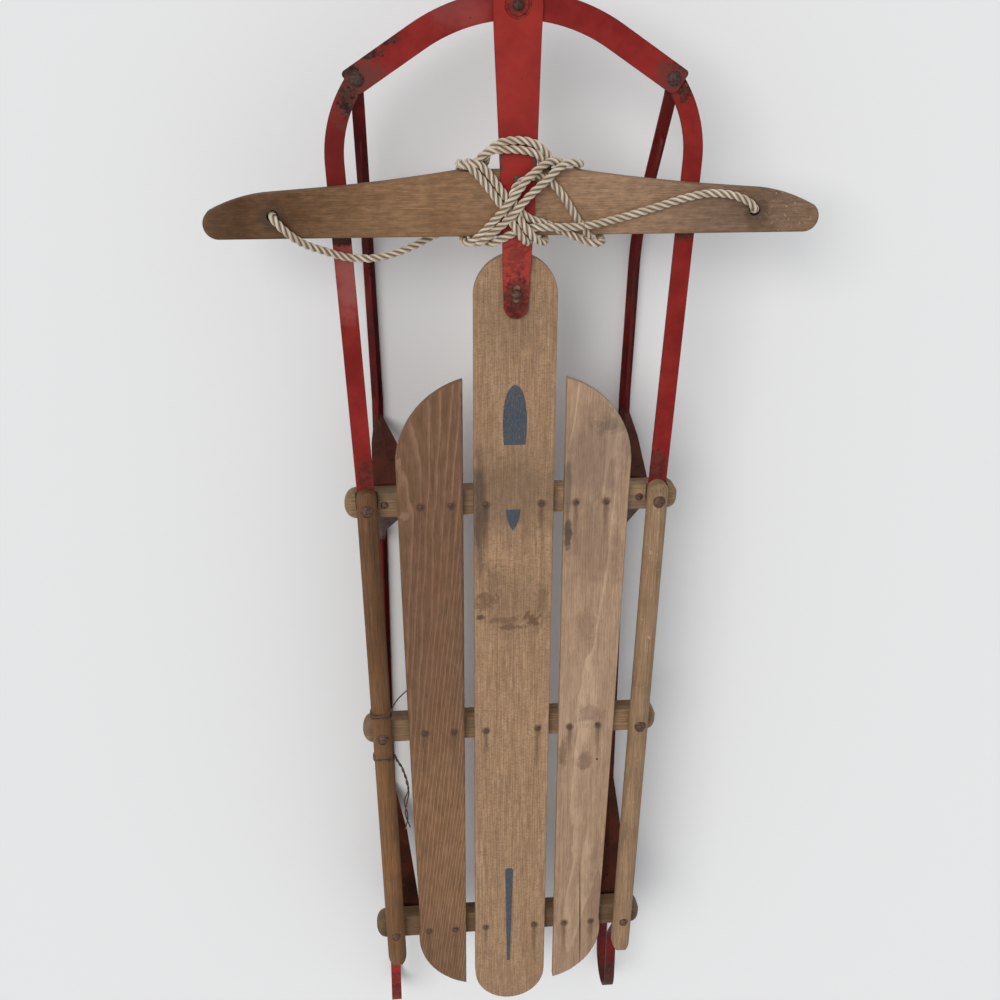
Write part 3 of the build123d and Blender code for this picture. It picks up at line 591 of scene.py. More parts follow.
right = Wood("right_board_wood", rgb(180, 149, 122), rgb(152, 122, 98), rgb(206, 178, 148),
             (-0.16, -0.2, 0.06), (-0.03, 0.0, 0.11), 0.015, 0.035, 0.55, fineness=1.4, line=9.0)
for place in (  # x, y, z, size, tone, strength, ragged, soft, grit
    (92, 165, DECK, (34, 60, 30), rgb(112, 88, 76), 0.5, 0.9, 0.6, 30.0),
    (112, 208, DECK, (24, 10, 30), rgb(88, 76, 66), 0.5, 1.0, 0.5),
    (92, 60, DECK, (30, 46, 30), rgb(120, 92, 78), 0.4, 1.0, 0.5, 40.0),
    (60, 130, DECK, (4, 44, 12), rgb(78, 66, 58), 0.55, 0.6, 0.5, 50.0),
    (61.5, 78, DECK, (4.5, 17, 12), SOOT, 0.75, 0.5, 0.3),
    (89, -224, DECK, (8, 13, 20), rgb(104, 82, 66), 0.55, 0.8),
    (62, -212, DECK, (5, 18, 20), rgb(98, 76, 60), 0.6, 0.7),
    (94, -158, DECK, (14, 12, 20), rgb(112, 84, 70), 0.45, 1.0),
    (86, -40, DECK, (12, 20, 20), rgb(118, 92, 74), 0.35, 1.1),
    (110, -420, DECK, (10, 60, 20), rgb(118, 88, 74), 0.35, 0.8, 0.4, 40.0),
):
    right.spot(*place)
pinhole = right.spot(104.4, -222.7, DECK, (1.3, 1.3, 6), rgb(28, 22, 18), 0.95, ragged=0.1, soft=0.2)
right.dent(pinhole, 3.0)
x, y, z = right.t.split(right.where)
slanted = right.t.join(right.t.plus(x, right.t.times(y, 0.0272)), y, z)
split = right.t.use(spot, vector=slanted, center=(0.0775, -0.4595, 0.137), size=(0.0007, 0.074, 0.012),
                    ragged=0.3, soft=0.5, grit=45.0)["Mask"]
right.stain(split, rgb(40, 30, 24), 0.85)
right.dent(split, 4.0)
right.nails(69.5, 104, RUST_HALO, RUST_RUN)
right.mottle(120.0, 0.92, 1.08)
# painted shade: the right board's rear part is made darker
right.shade(90, -400, DECK, (70, 160, 40), (0.9, 0.88, 0.86))
right.dress("slat_right")

# %% Beams, rails and the steering bar
QUARTER = math.pi / 2
beam = Wood("beam_wood", rgb(160, 128, 94), rgb(118, 92, 66), rgb(104, 78, 54),
            (0.3, 0.02, -0.02), (0.0, 0.03, 0.0), 0.0035, 0.01, 0.35, turned=QUARTER)
beam.blotch(24.0, 0.48, 0.14, DIRT, 0.55)
# painted shade over the rear beam, and painted light on the right part of the front beam
beam.shade(0, -466, 118, (420, 40, 60), (0.7, 0.66, 0.64), ragged=0.1)
beam.shade(90, 116, 118, (60, 40, 60), (1.6, 1.65, 1.7), ragged=0.1)
beam.dress("beam_front", "beam_middle", "beam_rear")

rail_left = Wood("left_rail_wood", rgb(134, 95, 59), rgb(96, 66, 41), rgb(74, 50, 32),
                 (0.17, 0.0, -0.1), (0.01, 0.0, 0.0), 0.003, 0.008, 0.35, fineness=1.5)
rail_left.blotch(18.0, 0.46, 0.12, rgb(72, 50, 34), 0.32)
# painted shade on the left rail's middle, and painted light on its rear part
rail_left.shade(-158, 40, 140, (30, 120, 30), (0.8, 0.74, 0.7))
rail_left.shade(-150, -330, 140, (30, 130, 30), (1.25, 1.22, 1.15))
rail_left.dress("side_rail_left")

rail_right = Wood("right_rail_wood", rgb(166, 135, 104), rgb(132, 103, 76), rgb(108, 82, 60),
                  (-0.17, 0.0, -0.1), (-0.01, 0.0, 0.0), 0.003, 0.008, 0.3, fineness=1.5)
rail_right.blotch(20.0, 0.42, 0.12, rgb(96, 74, 56), 0.3)
rail_right.blotch(210.0, 0.33, 0.04, rgb(206, 188, 162), 0.5)
for nick in (-4.5, 0.0, 4.5):
    rail_right.spot(158.5 + nick, 129, 144, (0.9, 2.6, 8), rgb(84, 62, 48), 0.55, ragged=0.9)
rail_right.dress("side_rail_right")

bar = Wood("bar_wood", rgb(158, 124, 94), rgb(126, 96, 70), rgb(104, 77, 55),
           (0.45, 0.03, -0.1), (0.0, 0.02, 0.01), 0.003, 0.012, 0.16, turned=QUARTER, fineness=2.4)
bar.blotch(30.0, 0.4, 0.2, rgb(104, 78, 56), 0.35)
bar.mottle(220.0, 0.82, 1.14)
# painted light and shade along the bar: x, y, z, size, light_and_shade_factor; below 1 darkens, above 1
# lightens
for bar_light_and_shade in (  # x, y, z, size, tint
    (-262, 440, 140, (52, 60, 40), (0.6, 0.5, 0.4)),
    (-215, 440, 140, (70, 60, 40), (0.72, 0.68, 0.62)),
    (-302, 440, 140, (34, 60, 40), (0.62, 0.56, 0.5)),
    (100, 440, 140, (95, 60, 40), (1.28, 1.32, 1.4)),
    (-120, 440, 140, (110, 60, 40), (0.95, 0.88, 0.78)),
    (235, 440, 140, (90, 60, 40), (0.72, 0.73, 0.8)),
):
    bar.shade(*bar_light_and_shade)
pale = bar.blot_mask(260.0, 0.36, 0.04)
tip = bar.spot_mask(285, 440, 140, (40, 50, 30), 0.5, 0.5, 40.0)
bar.stain(bar.t.times(pale, tip), rgb(196, 176, 154), 0.7)
for side in (-1, 1):
    bar.spot(side * 245.4, 437, 146, (13, 13, 20), SOOT, 0.5, ragged=0.5, soft=0.5)
bar.dress("steering_bar")
print("woods:", sorted(woods))

# %% [markdown]
# ## Painted steel
# The front frame is bright red, the runners and knees a dull dark maroon. Old paint is glossy where it
# holds, and where it has chipped the brown steel shows, a shade lower. Chips come from scattered blots,
# rubbed edges and spots that lie where pieces rub: round the rivets and where the bar lies on the arms.

# %% The paint recipe
class Paint(Surface):
    """Paint over steel: a mask of bare places, then the finished material."""

    def __init__(self, name, light, dark, chips=0.34, edges=0.55, gloss=0.15):
        super().__init__(name)
        t = self.t
        cloud = t.noise(self.where, 26.0, 4.0, 0.6)
        self.tone = t.blend(t.range(cloud, 0.3, 0.7), dark, light)
        self.gloss = gloss
        small = self.blot_mask(190.0, chips, 0.02)
        patches = self.blot_mask(16.0, 0.5, 0.16)
        worn = t.use(rubbed, vector=self.where, width=0.0016, amount=edges)["Mask"]
        self.bare = t.most(t.times(small, patches), worn)

    def spot(self, x, y, z, size, strength=1.0, ragged=0.7, soft=0.25, grit=220.0, tone=None):
        mask = self.t.times(self.spot_mask(x, y, z, size, ragged, soft, grit), strength)
        if tone:
            self.tone = self.t.blend(mask, self.tone, tone)
        else:
            self.bare = self.t.most(self.bare, mask)

    def dress(self, *names):
        t, shader = self.t, self.shader
        brown = t.range(t.noise(self.where, 140.0, 5.0, 0.65), 0.35, 0.65)
        metal = t.blend(brown, rgb(32, 24, 22), rgb(78, 52, 42))
        t.feed(t.blend(self.bare, self.tone, metal), shader.inputs["Base Color"])
        scuff = t.range(t.noise(self.where, 60.0, 6.0, 0.7), 0.35, 0.75, 0.42, 0.6)
        shader.inputs["Specular IOR Level"].default_value = self.gloss
        t.feed(t.plus(scuff, t.times(self.bare, 0.3)), shader.inputs["Roughness"])
        ripple = t.times(t.noise(self.where, 320.0, 3.0, 0.5), 0.3)
        t.feed(t.bump(t.minus(ripple, self.bare), 0.00025, 0.5), shader.inputs["Normal"])
        coat(self.material, *names)


FADED = rgb(146, 84, 79)
BROWNED = rgb(96, 52, 46)
strap_paint = Paint("strap_red", rgb(154, 43, 36), rgb(136, 34, 29), chips=0.33, edges=0.5)
for side in (-1, 1):
    strap_paint.spot(side * 18, 488, 143, (4, 16, 8), 0.8, 1.3, 0.2, 240.0, rgb(84, 62, 64))
for place in (  # x, y, z, size, strength, ragged, soft, grit, tone
    (0, 394, 141, (24, 36, 14), 0.7, 0.4, 0.6, 30.0, rgb(172, 66, 58)),
    (0, 345, 141, (14, 26, 12), 0.75, 1.5, 0.3, 150.0),
    (0, 400, 141, (12, 24, 12), 0.45, 1.9, 0.3, 150.0),
    (0, 634.5, 137, (11, 11, 8), 0.6, 0.8),
):
    strap_paint.spot(*place)
strap_paint.dress("steering_strap")

frame_paint = Paint("frame_red", rgb(140, 36, 31), rgb(116, 22, 19), chips=0.34, edges=0.5)
for place in (  # x, y, z, size, strength, ragged, soft, grit, tone
    # painted shade: the left arm ahead of the bar is made a deeper red
    (-182, 490, 132, (24, 44, 16), 0.55, 0.5, 0.6, 30.0, rgb(84, 16, 12)),
    (-157, 566, 132, (22, 20, 14), 0.85, 0.9, 0.5, 60.0, BROWNED),
    (-166, 540, 132, (14, 20, 12), 0.7, 0.9, 0.5, 60.0, BROWNED),
    (158, 566, 132, (18, 16, 14), 0.7, 0.9, 0.5, 60.0, BROWNED),
    (-60, 628, 137, (30, 14, 10), 0.35, 0.8, 0.6, 40.0, FADED),
    (-166, 577, 134, (9, 9, 10), 0.9, 1.6, 0.12, 260.0),
    (-148, 590, 135, (17, 6, 10), 0.9, 1.5, 0.12, 260.0),
    (-128, 603, 135, (13, 5, 10), 0.9, 1.3, 0.12, 260.0),
    (-169, 546, 131, (8, 14, 10), 0.95, 1.5, 0.12, 260.0),
    (-164, 534, 131, (5, 9, 10), 0.9, 1.6, 0.12, 300.0),
    (170, 552, 131, (6, 10, 10), 0.85, 1.5, 0.12, 260.0),
    (165, 580, 134, (9, 6, 10), 0.7, 1.6, 0.12, 260.0),
):
    frame_paint.spot(*place)
for side in (-1, 1):
    frame_paint.spot(side * 162.5, 150, 127, (9, 20, 6), 0.6, ragged=1.2)
for place in (  # x, y, z, size, strength, ragged, soft, grit, tone
    (-176, 411, 127, (12, 8, 6), 1.0, 0.5, 0.15, 160.0),
    (-174, 372, 127, (13, 40, 6), 0.7, 0.9, 0.7, 60.0, FADED),
    (176, 413, 127, (11, 9, 6), 0.6, 1.0),
):
    frame_paint.spot(*place)
frame_paint.dress("side_arm_left", "side_arm_right", "bumper")

runner_paint = Paint("runner_maroon", rgb(104, 16, 14), rgb(72, 10, 9), chips=0.4, edges=0.58, gloss=0.2)
for place in (  # x, y, z, size, strength, ragged, soft, grit, tone
    (-147, -610, 70, (12, 60, 60), 0.95, 0.3, 0.5, 40.0, rgb(152, 42, 32)),
    (140, -575, 108, (16, 40, 30), 0.85, 0.5, 0.5, 60.0, rgb(160, 64, 46)),
    (147, -640, 60, (14, 26, 50), 0.8, 0.6, 0.5, 60.0, rgb(72, 44, 36)),
):
    runner_paint.spot(*place)
for side in (-1, 1):
    runner_paint.spot(side * 147, -628, 60, (9, 30, 40), 0.6, ragged=1.5, soft=0.4, grit=120.0)
x, y, z = runner_paint.t.split(runner_paint.where)
ground = runner_paint.t.range(z, 0.0028, 0.0006)
runner_paint.bare = runner_paint.t.most(runner_paint.bare, ground)
runner_paint.dress("runner_left", "runner_right", "runner_nose_left", "runner_nose_right")

knee_paint = Paint("knee_maroon", rgb(88, 38, 18), rgb(50, 20, 10), chips=0.42, edges=0.62, gloss=0.16)
knee_paint.dress("knee_front_left", "knee_front_right", "knee_rear_left", "knee_rear_right")
print("paints:", strap_paint.material.name, frame_paint.material.name, runner_paint.material.name)

# %% [markdown]
# ## Runners in one piece
# The real runner is one strip of steel from its nose to its loop at the rear, and it bends when the
# bar is turned. The solids have a hinge there instead. So each side gets a strip of its own: copies of
# both solids are merged, the two end faces at the hinge are taken out and the gap is bridged. Cross cuts
# ahead of the knee give it places to bend.

# %% One runner a side
HINGE = 0.198
CUTS, FIRST_CUT, CUT_STEP = 7, 0.004, 0.016
for label in ("left", "right"):
    strip = bmesh.new()
    for name in ("runner_" + label, "runner_nose_" + label):
        part = nodes[name].data.copy()
        part.transform(nodes[name].matrix_world)
        strip.from_mesh(part)
        bpy.data.meshes.remove(part)
    bmesh.ops.remove_doubles(strip, verts=strip.verts, dist=0.00001)
    ends = [face for face in strip.faces if all(abs(vert.co.y - HINGE) < 0.0007 for vert in face.verts)]
    rims = {edge for face in ends for edge in face.edges
            if len([other for other in edge.link_faces if other in ends]) == 1}
    bmesh.ops.delete(strip, geom=ends, context="FACES")
    rims = [edge for edge in rims if edge.is_valid]
    bridged = bmesh.ops.bridge_loops(strip, edges=rims)["faces"]
    for cut in range(CUTS):
        whole = strip.verts[:] + strip.edges[:] + strip.faces[:]
        place = HINGE + FIRST_CUT + CUT_STEP * cut
        bmesh.ops.bisect_plane(strip, geom=whole, plane_co=(0, place, 0), plane_no=(0, 1, 0))
    bmesh.ops.recalc_face_normals(strip, faces=strip.faces)
    open_edges = [edge for edge in strip.edges if len(edge.link_faces) != 2]
    data = bpy.data.meshes.new("runner_whole_" + label)
    strip.to_mesh(data)
    strip.free()
    runner = bpy.data.objects.new("runner_whole_" + label, data)
    bpy.context.collection.objects.link(runner)
    data.materials.append(runner_paint.material)
    pick(runner)
    bpy.ops.object.shade_smooth_by_angle(angle=math.radians(35))
    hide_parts("runner_" + label, "runner_nose_" + label)
    middle = (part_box("runner_" + label)[0].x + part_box("runner_" + label)[1].x) / 2
    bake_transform(runner)
    print(runner.name, "rim edges", len(rims), "bridged", len(bridged), "open edges", len(open_edges))

# %% [markdown]
# ## Rusty bolts and rivets
# Bolt heads, rivets and nails were never painted or have lost it: brown rust with darker pits, and a
# little bare shine on the crown of each head.

# %% The rust finish
def rusty(name, dark, light, warm, share):
    """Rust with darker pits and warm patches, in the given tones."""
    material, t, shader, where = finish(name)
    pits = t.noise(where, 420.0, 5.0, 0.65)
    tone = t.blend(t.range(pits, 0.38, 0.62), dark, light)
    orange = t.use(blots, vector=where, scale=150.0, amount=0.42, soft=0.08)["Mask"]
    t.feed(t.blend(t.times(orange, share), tone, warm), shader.inputs["Base Color"])
    t.feed(t.range(pits, 0.3, 0.7, 0.5, 0.78), shader.inputs["Roughness"])
    shader.inputs["Metallic"].default_value = 0.3
    shader.inputs["Specular IOR Level"].default_value = 0.3
    t.feed(t.bump(pits, 0.0006, 0.5), shader.inputs["Normal"])
    return material


rust = rusty("rusty_steel", rgb(58, 44, 38), rgb(112, 86, 72), rgb(112, 66, 42), 0.5)
dark_rust = rusty("dark_rivet_steel", rgb(52, 38, 34), rgb(86, 64, 56), rgb(92, 58, 44), 0.3)
wire_rust = rusty("rusty_wire", rgb(44, 36, 32), rgb(104, 88, 76), rgb(96, 66, 48), 0.4)
coat(rust, "rail_bolts_left", "rail_bolts_right", "knee_bolt_left", "knee_bolt_right", "strap_bolt",
     "bar_rivets")
coat(dark_rust, "front_pivot", "tip_rivet_left", "tip_rivet_right")
print("rust:", rust.name, dark_rust.name, wire_rust.name)

# %% [markdown]
# ## The tow rope
# One laid rope of three strands is knotted under both ends of the bar, hangs over the left arm, and is
# wound many times round bar and strap. A rope lies on a smooth line, so its route is a NURBS curve with
# a control point at each place it passes. The strands then follow points read from that curve: a ring
# with three lobes turns once every 25 mm on its way along the line, which gives the lay and its grooves.

# %% Helpers for the rope
ROPE = 8.4 * MM
LAY = 25.0 * MM
RING_GAP, RING_POINTS = 1.1 * MM, 24


def route(name, points):
    """A smooth line that passes along these control points, given in millimetres."""
    data = bpy.data.curves.new(name, "CURVE")
    data.dimensions = "3D"
    data.resolution_u = 16
    spline = data.splines.new("NURBS")
    spline.points.add(len(points) - 1)
    for knot, point in zip(spline.points, points):
        knot.co = (point[0] * MM, point[1] * MM, point[2] * MM, 1.0)
    spline.order_u = 3
    spline.use_endpoint_u = True
    line = bpy.data.objects.new(name, data)
    bpy.context.collection.objects.link(line)
    return line


def follow(line, step):
    """Evenly spaced points along a route, which is then removed."""
    bpy.context.view_layer.update()
    mesh = bpy.data.meshes.new_from_object(line)
    raw = [vertex.co.copy() for vertex in mesh.vertices]
    bpy.data.meshes.remove(mesh)
    bpy.data.objects.remove(line)
    reach = [0.0]
    for a, b in zip(raw, raw[1:]):
        reach.append(reach[-1] + (b - a).length)
    count = max(8, round(reach[-1] / step))
    points, place = [], 0
    for index in range(count + 1):
        want = reach[-1] * index / count
        while place < len(raw) - 2 and reach[place + 1] < want:
            place += 1
        share = (want - reach[place]) / max(reach[place + 1] - reach[place], 1e-9)
        points.append(raw[place].lerp(raw[place + 1], min(max(share, 0.0), 1.0)))
    return points, reach[-1]


def lobed(angle, width):
    """Distance from the middle to the outside of three touching strands."""
    half = width / 4
    third = 2 * math.pi / 3
    off = (angle + third / 2) % third - third / 2
    return half * math.cos(off) + math.sqrt(max(half * half * (1 - math.sin(off) ** 2), 0.0))


def skin(name, points, outline, lay, sides):
    """A closed tube along the points, whose outline turns as it goes. Its map runs along and around."""
    mesh = bmesh.new()
    uv = mesh.loops.layers.uv.new("along")
    rings, lengths, length = [], [], 0.0
    tangent = (points[1] - points[0]).normalized()
    side = tangent.orthogonal().normalized()
    for index, point in enumerate(points):
        before = points[max(index - 1, 0)]
        after = points[min(index + 1, len(points) - 1)]
        new = (after - before).normalized()
        side = (side - new * side.dot(new)).normalized()
        other = new.cross(side)
        length += (point - before).length
        lengths.append(length)
        ring = []
        for step in range(sides):
            angle = 2 * math.pi * step / sides
            turned = angle + 2 * math.pi * length / lay
            out = side * math.cos(turned) + other * math.sin(turned)
            ring.append(mesh.verts.new(point + out * outline(angle)))
        rings.append(ring)
    for index in range(len(rings) - 1):
        for step in range(sides):
            on = (step + 1) % sides
            near, far = rings[index], rings[index + 1]
            face = mesh.faces.new((near[step], near[on], far[on], far[step]))
            face.smooth = True
            for loop, along, around in zip(face.loops, (0, 0, 1, 1), (step, step + 1, step + 1, step)):
                loop[uv].uv = (lengths[index + along] * 20.0, around / sides)
    for ring, flip in ((rings[0], True), (rings[-1], False)):
        mesh.faces.new(ring[::-1] if flip else ring)
    data = bpy.data.meshes.new(name)
    mesh.to_mesh(data)
    mesh.free()
    piece = bpy.data.objects.new(name, data)
    bpy.context.collection.objects.link(piece)
    return piece


def laid_rope(name, points, width=ROPE):
    line, length = follow(route(name + "_route", points), RING_GAP)
    piece = skin(name, line, lambda angle: lobed(angle, width), LAY, RING_POINTS)
    print(name, "length", round(length, 3), "faces", len(piece.data.polygons))
    return piece, line, length


# %% [markdown]
# The two free spans come first, each from its hole in the bar. The left one falls over the bar's rear
# edge, rests on the left arm and goes under the bar. The right one lies along the bar's top.

# %% The two spans
HOLE_X, HOLE_Y, BAR_FOOT = 245.4, 438.0, 127.5
LEFT_SPAN = [
    (-HOLE_X, HOLE_Y, BAR_FOOT), (-HOLE_X, HOLE_Y, 147), (-243.8, 435.6, 153), (-237.8, 428.6, 154.4),
    (-229.6, 420.6, 153.6), (-220.8, 413.2, 149.6), (-211.3, 407.2, 143.6), (-201.6, 402.8, 138.6),
    (-191.9, 398.9, 135), (-182, 395.1, 133.2), (-172.9, 392.9, 132.9), (-162.3, 391.6, 132.8),
    (-150.1, 391.2, 132.4), (-139.3, 392.1, 131.2), (-128.5, 394.2, 129.2), (-117.6, 397.3, 126.8),
    (-106.7, 400.9, 123.8), (-97.2, 405, 121), (-88.6, 409.2, 118.6), (-75, 414.6, 115.8),
    (-62, 419.2, 114.4), (-48, 423, 114),
]
RIGHT_SPAN = [
    (HOLE_X, HOLE_Y, BAR_FOOT), (HOLE_X, HOLE_Y, 147), (243.6, 440.8, 152.8), (239.2, 445.4, 153.8),
    (234, 449.2, 152.8), (227.3, 452, 151.4), (218.2, 454.6, 150.6), (209.1, 455.9, 150.4),
    (198.5, 456.2, 150.4), (189.5, 455.6, 150.4), (180.5, 454, 150.4), (172.1, 452, 150.4),
    (162.3, 449.4, 150.4), (152.5, 446.2, 150.4), (141.3, 442.8, 150.4), (130.1, 439.5, 150.4),
    (118.9, 436.2, 150.4), (107.6, 433, 150.4), (96.4, 430.5, 151), (85, 428.5, 153.4),
    (74.9, 426.8, 156.6), (66, 425.9, 157.8),
]
span_left, left_line, left_length = laid_rope("tow_rope_left", LEFT_SPAN)
span_right, right_line, right_length = laid_rope("tow_rope_right", RIGHT_SPAN)
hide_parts("rope_span_left")
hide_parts("rope_span_right")

# %% [markdown]
# The lashing is one long route too. Each line of points below is one pass: over the top of the bar or
# ahead of it across the strap, then down one edge, under the bar and up the other. Where passes cross,
# the upper one is a strand's width higher. The two diagonals on top were wound last. Under the bar the
# passes lie in two layers, HIGH against the wood and LOW below it.

# %% The lashing
REAR, FRONT = 409.8, 485.2
HIGH, LOW = 122.8, 114.2
LASHING = [
    # from the left span under the bar to its front edge, and round the strap as the inner loop
    (-48, 423, 114), (-44.5, 440, LOW), (-40.5, 470, LOW), (-40, FRONT + 1, 118),
    (-40, 486.8, 140), (-39, 493, 149.5), (-33.8, 497.9, 151.5), (-27.1, 500.4, 152.5),
    (-16.9, 501.4, 153.5), (-6.6, 501.7, 154), (3.7, 500.8, 154), (12.6, 499, 153.5),
    (19.5, 495.4, 152.5), (24.5, 490.3, 150), (26, 486, 138), (26, FRONT, 120),
    (33, 470, LOW), (66, 425, LOW), (76, REAR, 118),
    # up the lone strand on the right, under both diagonals, and hooked round beside the first of them
    (76.5, 408.6, 147), (71.5, 416.5, 150.6), (61.3, 430.2, 150.2), (53.5, 442.9, 150.4),
    (44.7, 456.5, 150.4), (35, 467.6, 150.4), (25.4, 474, 150.8), (17.8, 475.8, 152.2),
    (10.4, 474.2, 154.4), (5.3, 471.9, 155.8), (0, 468.8, 156.8), (-4.6, 463.8, 157.4),
    (-6.7, 458.3, 157.4), (-5.4, 451.2, 157), (-0.6, 443.6, 156.4), (5.4, 437.6, 155),
    # and down again under the right span to the bar's rear edge
    (12.6, 432.6, 152.6), (21.9, 429.6, 150.8), (32.6, 425.9, 149.9), (43.4, 420.9, 149.9),
    (53.1, 416.5, 150.3), (63, 412.2, 150.6), (73, 408.4, 154), (82, 406.8, 153),
    (88.5, 408, 147), (88.5, REAR, 118), (80, 425, LOW), (50, 470, LOW),
    (43.5, FRONT, 118),
    # the first diagonal on top
    (43, 486.4, 140), (41.9, 487, 147.4), (36.8, 489.5, 151.4), (30.6, 489.5, 152.8),
    (23.8, 485.8, 155.4), (14.5, 479.4, 159.8), (6.9, 473.7, 162.8), (1.8, 466.7, 163.6),
    (-4.1, 458.9, 163.8), (-10.3, 451.4, 163.4), (-17.2, 441, 158.5), (-24.2, 432.1, 154),
    (-31.8, 423.4, 151.2), (-39.6, 415.4, 151), (-47.5, 409.6, 150.4), (-53.5, 408.4, 145),
    (-54.5, REAR, 118), (-55.5, 440, HIGH), (-57, 470, HIGH), (-57.5, FRONT, 118),
    # the left one of the pair, from the front edge across the strap to the rear
    (-57.5, 486.2, 144), (-54.8, 487.2, 150.6), (-49.2, 484.9, 151.4), (-42.5, 478.8, 150.6),
    (-35.2, 470.2, 150.4), (-27.9, 461.2, 150.4), (-21.8, 453.3, 152), (-16.6, 446.3, 153.8),
    (-11.9, 439.1, 155.6), (-7.1, 431.2, 159.4), (-2.4, 423.4, 161.6), (3, 415.6, 159),
    (9, 409.6, 153), (13, 408, 142), (14, REAR, 118), (20, 440, HIGH),
    (31, 470, HIGH), (34.5, FRONT, 118),
    # the outer loop round the strap, from right to left
    (34.5, 486, 140), (31.5, 491.5, 149.5), (28.3, 496.6, 151.2), (23.2, 502.1, 152.5),
    (16.5, 506.5, 153.5), (7.8, 509.6, 154), (-2.6, 510.4, 154), (-13.8, 509.4, 153.5),
    (-23, 506.2, 152.5), (-29.3, 501, 150), (-31.8, 494, 145), (-31.5, 487.2, 134),
    (-31.5, FRONT, 119), (-34, 470, LOW), (-41, 425, LOW), (-43.5, REAR, 118),
    # the second diagonal on top
    (-43.5, 408, 146), (-38.8, 409.8, 151.6), (-32, 414.2, 152.4), (-23.9, 421.3, 153.6),
    (-15.6, 428.9, 157.4), (-8.7, 436.3, 161.4), (-1.8, 444.4, 162.8), (4.3, 451.6, 162.8),
    (10.6, 458, 162), (18.2, 464.3, 160), (25, 469.9, 159.2), (31.2, 475.6, 158.4),
    (36.8, 481.2, 157), (43.2, 485.6, 154.6), (50, 488.2, 152), (57, 488.2, 151),
    (63.5, 485.4, 146), (65, FRONT - 1, 118), (58, 460, HIGH), (38, 425, HIGH),
    (31, REAR, 118),
    # the right one of the pair, from the rear back to the front edge
    (29, 407.8, 146), (21.5, 409.6, 153.4), (14.3, 416, 159.6), (8.6, 423.2, 162),
    (3, 430.6, 159.4), (-1.6, 437.2, 155.6), (-6.8, 445.2, 153.8), (-11.8, 453.2, 153.4),
    (-17.8, 462.2, 153.4), (-23.9, 470.6, 152), (-30, 478.4, 150.6), (-36, 484.6, 150.8),
    (-42, 488.2, 152.2), (-47.6, 488.2, 148.6), (-49, 486.5, 136), (-49, FRONT, 120),
    (-46, 470, HIGH), (-34, 425, HIGH), (-31, REAR, 118),
    # over the strap's rear, under the pair, and out to the right as the right span
    (-30.5, 407.4, 140), (-27.4, 407.6, 147), (-23.5, 409.7, 151), (-16.3, 413.4, 153),
    (-8, 417.7, 153.4), (0.5, 421.2, 153.4), (9, 423.6, 153.8), (17, 425, 155.6),
    (26, 425.4, 157.4), (36, 425.3, 158.2), (46, 425.1, 157.4), (56, 425.2, 157.4),
    (66, 425.9, 157.8),
]
lashing, _, lashing_length = laid_rope("rope_binding", LASHING)
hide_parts("rope_lashing")

# %% [markdown]
# Under each hole the rope ends in a stopper knot: it turns once and a half round itself and its end
# hangs out below. The same route tools make it, on a much smaller scale.

# %% The two knots
def stopper(side):
    """The knot's route, below the hole on that side of the bar."""
    x, y, top = side * HOLE_X, HOLE_Y, BAR_FOOT
    points = [(x, y, top + 2), (x, y, top - 6)]
    for turn_part in range(7):
        angle = math.radians(60 + 75 * turn_part)
        sink = top - 7.5 - 0.9 * turn_part
        points.append((x + side * 6.2 * math.cos(angle), y + 6.2 * math.sin(angle), sink))
    points += [(x + side * 1.0, y - 1.0, top - 14.0), (x + side * 1.0, y - 2.0, top - 22.0)]
    return points


knots = []
for side, label in ((-1, "left"), (1, "right")):
    knot, _, _ = laid_rope("rope_end_knot_" + label, stopper(side), 7.8 * MM)
    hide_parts("rope_knot_" + label)
    knots.append(knot)

# %% [markdown]
# The rope is off-white fibre that has greyed. Its map runs along and around the rope, so noise drawn
# out along it gives the yarns. Painted shade darkens each strand towards its flanks and most in the
# grooves between the strands, which leaves the crests as painted highlights; scattered blots are dirt.

# %% The rope's finish
rope_look, t, shader, where = finish("rope_fibre")
lay_map = rope_look.node_tree.nodes.new("ShaderNodeUVMap")
lay_map.uv_map = "along"
u, v, w = t.split(lay_map.outputs["UV"])
third = t.math("ABSOLUTE", t.minus(t.math("FRACT", t.plus(t.times(v, 3.0), 0.5)), 0.5))
# painted shade: each strand darkens from its crest towards its flanks, so the crest reads as a painted
# highlight
flank_painted_shade_and_bump = t.range(third, 0.06, 0.4)
groove_painted_shade = t.range(third, 0.34, 0.5)
yarn = t.noise(t.join(u, t.times(v, 26.0), 0.0), 2.2, 3.0, 0.6)
tone = t.blend(t.range(yarn, 0.3, 0.7), rgb(184, 168, 146), rgb(240, 230, 212))
tone = t.blend(t.times(flank_painted_shade_and_bump, 0.75), tone, rgb(146, 120, 96))
soiled = t.use(blots, vector=where, scale=30.0, amount=0.45, soft=0.15)["Mask"]
tone = t.blend(t.times(soiled, 0.4), tone, rgb(150, 124, 96))
# painted shade, darkest in the grooves between the strands
tone = t.blend(t.times(groove_painted_shade, 0.85), tone, rgb(74, 56, 42))
t.feed(tone, shader.inputs["Base Color"])
shader.inputs["Roughness"].default_value = 0.85
shader.inputs["Specular IOR Level"].default_value = 0.25
t.feed(t.bump(t.minus(t.times(yarn, 0.5), flank_painted_shade_and_bump), 0.0009, 0.6), shader.inputs["Normal"])
for piece in (span_left, span_right, lashing, *knots):
    piece.data.materials.append(rope_look)
    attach(piece, "steering")
print("rope in all:", round(left_length + right_length + lashing_length, 2), "m")

# %% [markdown]
# ## Nails
# Six nails hold the deck to each beam. Their heads are small low domes with a flat rim, so one is
# shaped from a disc: its top face is drawn in and lifted three times, and it is copied to the eighteen
# places. A slice of a sphere would do too, but it has no rim.

